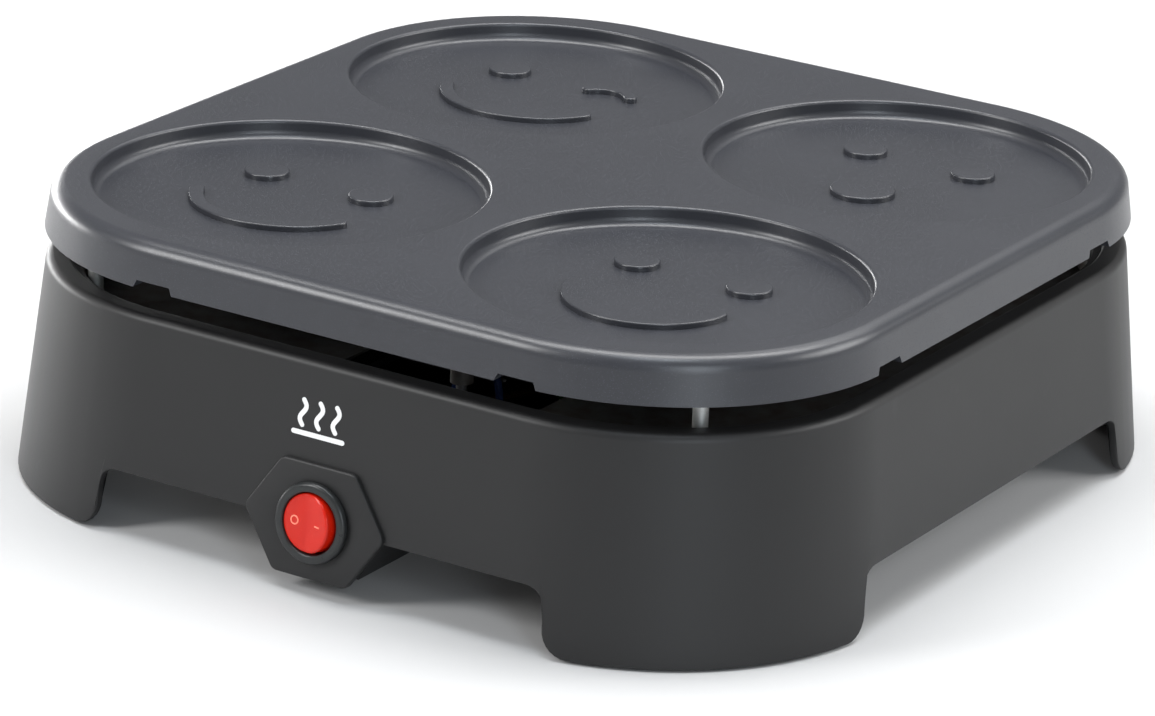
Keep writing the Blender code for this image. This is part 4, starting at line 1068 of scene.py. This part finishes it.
def screw_tree(material):
    """Pan-head screws with a cross recess, one on each point, head down."""
    tree = bpy.data.node_groups.new("cross_head_screws", "GeometryNodeTree")
    face = tree.interface
    face.new_socket("Geometry", in_out="INPUT", socket_type="NodeSocketGeometry")
    sizes = {"Head Radius": 0.003, "Head Height": 0.0022, "Shank Radius": 0.00145, "Shank Length": 0.012}
    for name, size in sizes.items():
        face.new_socket(name, in_out="INPUT", socket_type="NodeSocketFloat").default_value = size
    face.new_socket("Geometry", in_out="OUTPUT", socket_type="NodeSocketGeometry")
    nodes, links = tree.nodes, tree.links
    into, out = nodes.new("NodeGroupInput"), nodes.new("NodeGroupOutput")

    def add(kind, settings=None, **inputs):
        """A node; each input is a value, a socket, or several sockets for one that takes many."""
        made = nodes.new(kind)
        for key, value in (settings or {}).items():
            setattr(made, key, value)
        for key, value in inputs.items():
            socket = made.inputs[int(key[1:]) if key[1:].isdigit() else key.replace("_", " ")]
            if isinstance(value, (list, bpy.types.NodeSocket)):
                for source in value if isinstance(value, list) else [value]:
                    links.new(source, socket)
            else:
                socket.default_value = value
        return made.outputs[0]

    def scaled(socket, share):
        return add("ShaderNodeMath", {"operation": "MULTIPLY"}, _0=socket, _1=share)

    def raised(geometry, height):
        shift = add("ShaderNodeCombineXYZ", Z=height)
        return add("GeometryNodeTransform", Geometry=geometry, Translation=shift)

    head_radius, head_height = into.outputs["Head Radius"], into.outputs["Head Height"]
    shank_radius, shank_length = into.outputs["Shank Radius"], into.outputs["Shank Length"]
    dome = add("GeometryNodeMeshCone", Vertices=32, Side_Segments=1, Radius_Top=scaled(head_radius, 0.62),
               Radius_Bottom=head_radius, Depth=scaled(head_height, 0.45))
    rim = add("GeometryNodeMeshCylinder", Vertices=32, Radius=head_radius, Depth=scaled(head_height, 0.55))
    shank = add("GeometryNodeMeshCylinder", Vertices=20, Radius=shank_radius, Depth=shank_length)
    middle = add("ShaderNodeMath", {"operation": "SUBTRACT"}, _0=0.0003, _1=scaled(shank_length, 0.5))
    stack = [(dome, scaled(head_height, 0.54)), (rim, scaled(head_height, 0.275)), (shank, middle)]
    settings = {"operation": "UNION", "solver": "EXACT"}
    parts = add("GeometryNodeMeshBoolean", settings, Mesh_2=[raised(*part) for part in stack])
    bars = []
    for length, width in ((1.0, 0.2), (0.2, 1.0)):
        size = add("ShaderNodeCombineXYZ", X=scaled(head_radius, length), Y=scaled(head_radius, width),
                   Z=scaled(head_height, 1.2))
        bars.append(raised(add("GeometryNodeMeshCube", Size=size), head_height))
    settings = {"operation": "DIFFERENCE", "solver": "EXACT"}
    cross = add("GeometryNodeMeshBoolean", settings, Mesh_1=parts, Mesh_2=bars)
    flip = add("GeometryNodeTransform", Geometry=cross, Rotation=(pi, 0, 0.4))
    placed = add("GeometryNodeInstanceOnPoints", Points=into.outputs["Geometry"], Instance=flip)
    real = add("GeometryNodeRealizeInstances", Geometry=placed)
    links.new(add("GeometryNodeSetMaterial", Geometry=real, Material=material), out.inputs["Geometry"])
    return tree


def make_cover_screws():
    nodes, head = [f"cover_screw_{i}" for i in range(1, 5)], 2.2
    low, high = box_mm(nodes[0])
    mesh = bpy.data.meshes.new("screw_places")
    mesh.from_pydata([(above(node) @ Vector((0, 0, low.z + head))) * MM for node in nodes], [], [])
    holder = in_scene("screw_places", mesh)
    modifier = holder.modifiers.new("screws", "NODES")
    modifier.node_group = screw_tree(FINISHES["steel"])
    values = {"Head Height": head * MM, "Shank Length": (high.z - low.z - head) * MM}
    for item in modifier.node_group.interface.items_tree:
        if item.name in values:
            modifier[item.identifier] = values[item.name]
    mesh = evaluated_mesh(holder)
    discard(holder)
    mesh.shade_smooth()
    mesh.set_sharp_from_angle(angle=radians(30))
    keep(in_scene("cover_screws", mesh), "steel", *nodes)


# The printed mark --------------------

MARK_AT = (-2.0, 49.6)
MARK_WAVES = 3
MARK_HEIGHT = 7.0
MARK_PITCH = 5.4
MARK_STROKE = 1.4
MARK_SWING = 0.9


def make_mark():
    """A plain printed warmth sign: three short wavy lines side by side over a bar."""
    place = wall_frame(*MARK_AT)
    strokes = []
    for number in range(MARK_WAVES):
        middle = (number - (MARK_WAVES - 1) / 2) * MARK_PITCH
        heights = [MARK_HEIGHT * (i / 24 - 0.5) for i in range(25)]
        line = [(middle + MARK_SWING * sin(2 * pi * up / MARK_HEIGHT), up) for up in heights]
        strokes.append(ribbon(line, MARK_STROKE))
    half, low = MARK_PITCH * (MARK_WAVES - 1) / 2 + 2.6, -MARK_HEIGHT / 2 - 2.2
    strokes.append(ribbon([(-half + 2 * half * i / 6, low) for i in range(7)], MARK_STROKE))
    mark = flat("warmth_sign", strokes, -0.1, 0.06, PRINT_FINISH, place)
    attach(mark, BODY)


def ribbon(line, width):
    """The outline of a stroke of even width with round ends."""
    sides = ([], [])
    for point, behind, ahead in zip(line, line[:1] + line[:-1], line[1:] + line[-1:]):
        along = (Vector(ahead) - Vector(behind)).normalized()
        normal = Vector((-along.y, along.x)) * width / 2
        sides[0].append(tuple(Vector(point) + normal))
        sides[1].append(tuple(Vector(point) - normal))
    caps = []
    for here, before in ((line[-1], line[-2]), (line[0], line[1])):
        along = Vector(here) - Vector(before)
        angle = degrees(atan2(along.y, along.x))
        caps.append(arc(here, width / 2, angle + 90, angle - 90, 8)[1:-1])
    return sides[0] + caps[0] + sides[1][::-1] + caps[1]


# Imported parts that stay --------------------


def paint_packed_parts():
    """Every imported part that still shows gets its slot's finish."""
    slots = {entry["node"]: entry["material_slot"] for entry in frame["record"]["subparts"]}
    for name, obj in frame["nodes"].items():
        obj.data.materials.clear()
        obj.data.materials.append(FINISHES[slots[name]])


# Stage --------------------


def make_stage():
    bpy.ops.mesh.primitive_plane_add(size=30, location=(0, 0, -0.0002))
    floor_plane = bpy.context.object
    floor_plane.name = "floor"
    pale = Material("floor_pale", grey(0.56), Roughness=0.9, Specular_IOR_Level=0.1, Emission_Strength=1.0)
    far = pale.node("ShaderNodeVectorMath", {"operation": "LENGTH"}, {0: pale.where}, "Value").step(0.8, 2.4)
    pale.feed(Emission_Color=pale.mix(far, grey(0.0), grey(1.0)))
    floor_plane.data.materials.append(pale.material)

    world = bpy.data.worlds.new("studio")
    world.use_nodes = True
    sky = world.node_tree.nodes["Background"].inputs
    sky["Color"].default_value = (1.0, 1.0, 1.0, 1.0)
    sky["Strength"].default_value = 0.26
    bpy.context.scene.world = world
    bpy.context.scene.view_settings.view_transform = "Standard"

    white, cool = (1.0, 1.0, 1.0), (0.84, 0.92, 1.0)
    lights = (      # name, place, where it points, size, watts, colour
        ("overhead", (-0.05, 0.16, 1.3), (0, 0.1, 0.05), (1.7, 0.4), 23.0, white),
        ("back_top", (0.1, 1.1, 1.2), (0, 0, 0.05), (1.2, 0.6), 5.0, white),
        ("left_front", (-0.8, -1.1, 0.85), (0, 0, 0.05), (0.4, 0.6), 13.0, white),
        ("left_panel", (-1.15, 0.3, 0.11), (-0.1, 0, 0.05), (1.3, 0.2), 14.0, white),
        ("right_front", (1.05, -0.95, 0.5), (0, 0, 0.05), (0.3, 0.8), 5.5, cool),
        ("corner_top", (0.22, -0.3, 1.2), (0.1, -0.12, 0.05), (0.34, 0.26), 3.0, cool),
        ("right_back", (1.3, 0.7, 0.8), (0.1, 0, 0), (0.9, 0.6), 14.0, white),
    )
    for name, at, towards, size, watts, colour in lights:
        lamp = bpy.data.lights.new(name, "AREA")
        lamp.shape = "RECTANGLE"
        lamp.size, lamp.size_y = size
        lamp.energy = watts
        lamp.color = colour
        obj = in_scene(name, lamp)
        obj.location = at
        obj.rotation_euler = (Vector(towards) - Vector(at)).to_track_quat("-Z", "Y").to_euler()


def make_camera():
    """A long lens from the front right, a little above, rolled by under three degrees."""
    right = (0.84772, 0.52861, 0.04426)
    up = (-0.21600, 0.26780, 0.93896)
    back = (0.48445, -0.80554, 0.34119)
    camera = bpy.data.cameras.new("camera")
    camera.lens = 171.03
    camera.sensor_width = 36.0
    camera.clip_end = 50.0
    obj = in_scene("camera", camera)
    turn = Matrix((right, up, back)).transposed().to_4x4()
    obj.matrix_world = Matrix.Translation((0.77267, -1.29146, 0.57388)) @ turn
    bpy.context.scene.camera = obj


paint_packed_parts()
make_base()
make_plate()
make_switch()
make_rocker()
make_gland()
make_posts()
make_pads()
make_element()
make_cover_screws()
make_mark()
make_stage()
make_camera()
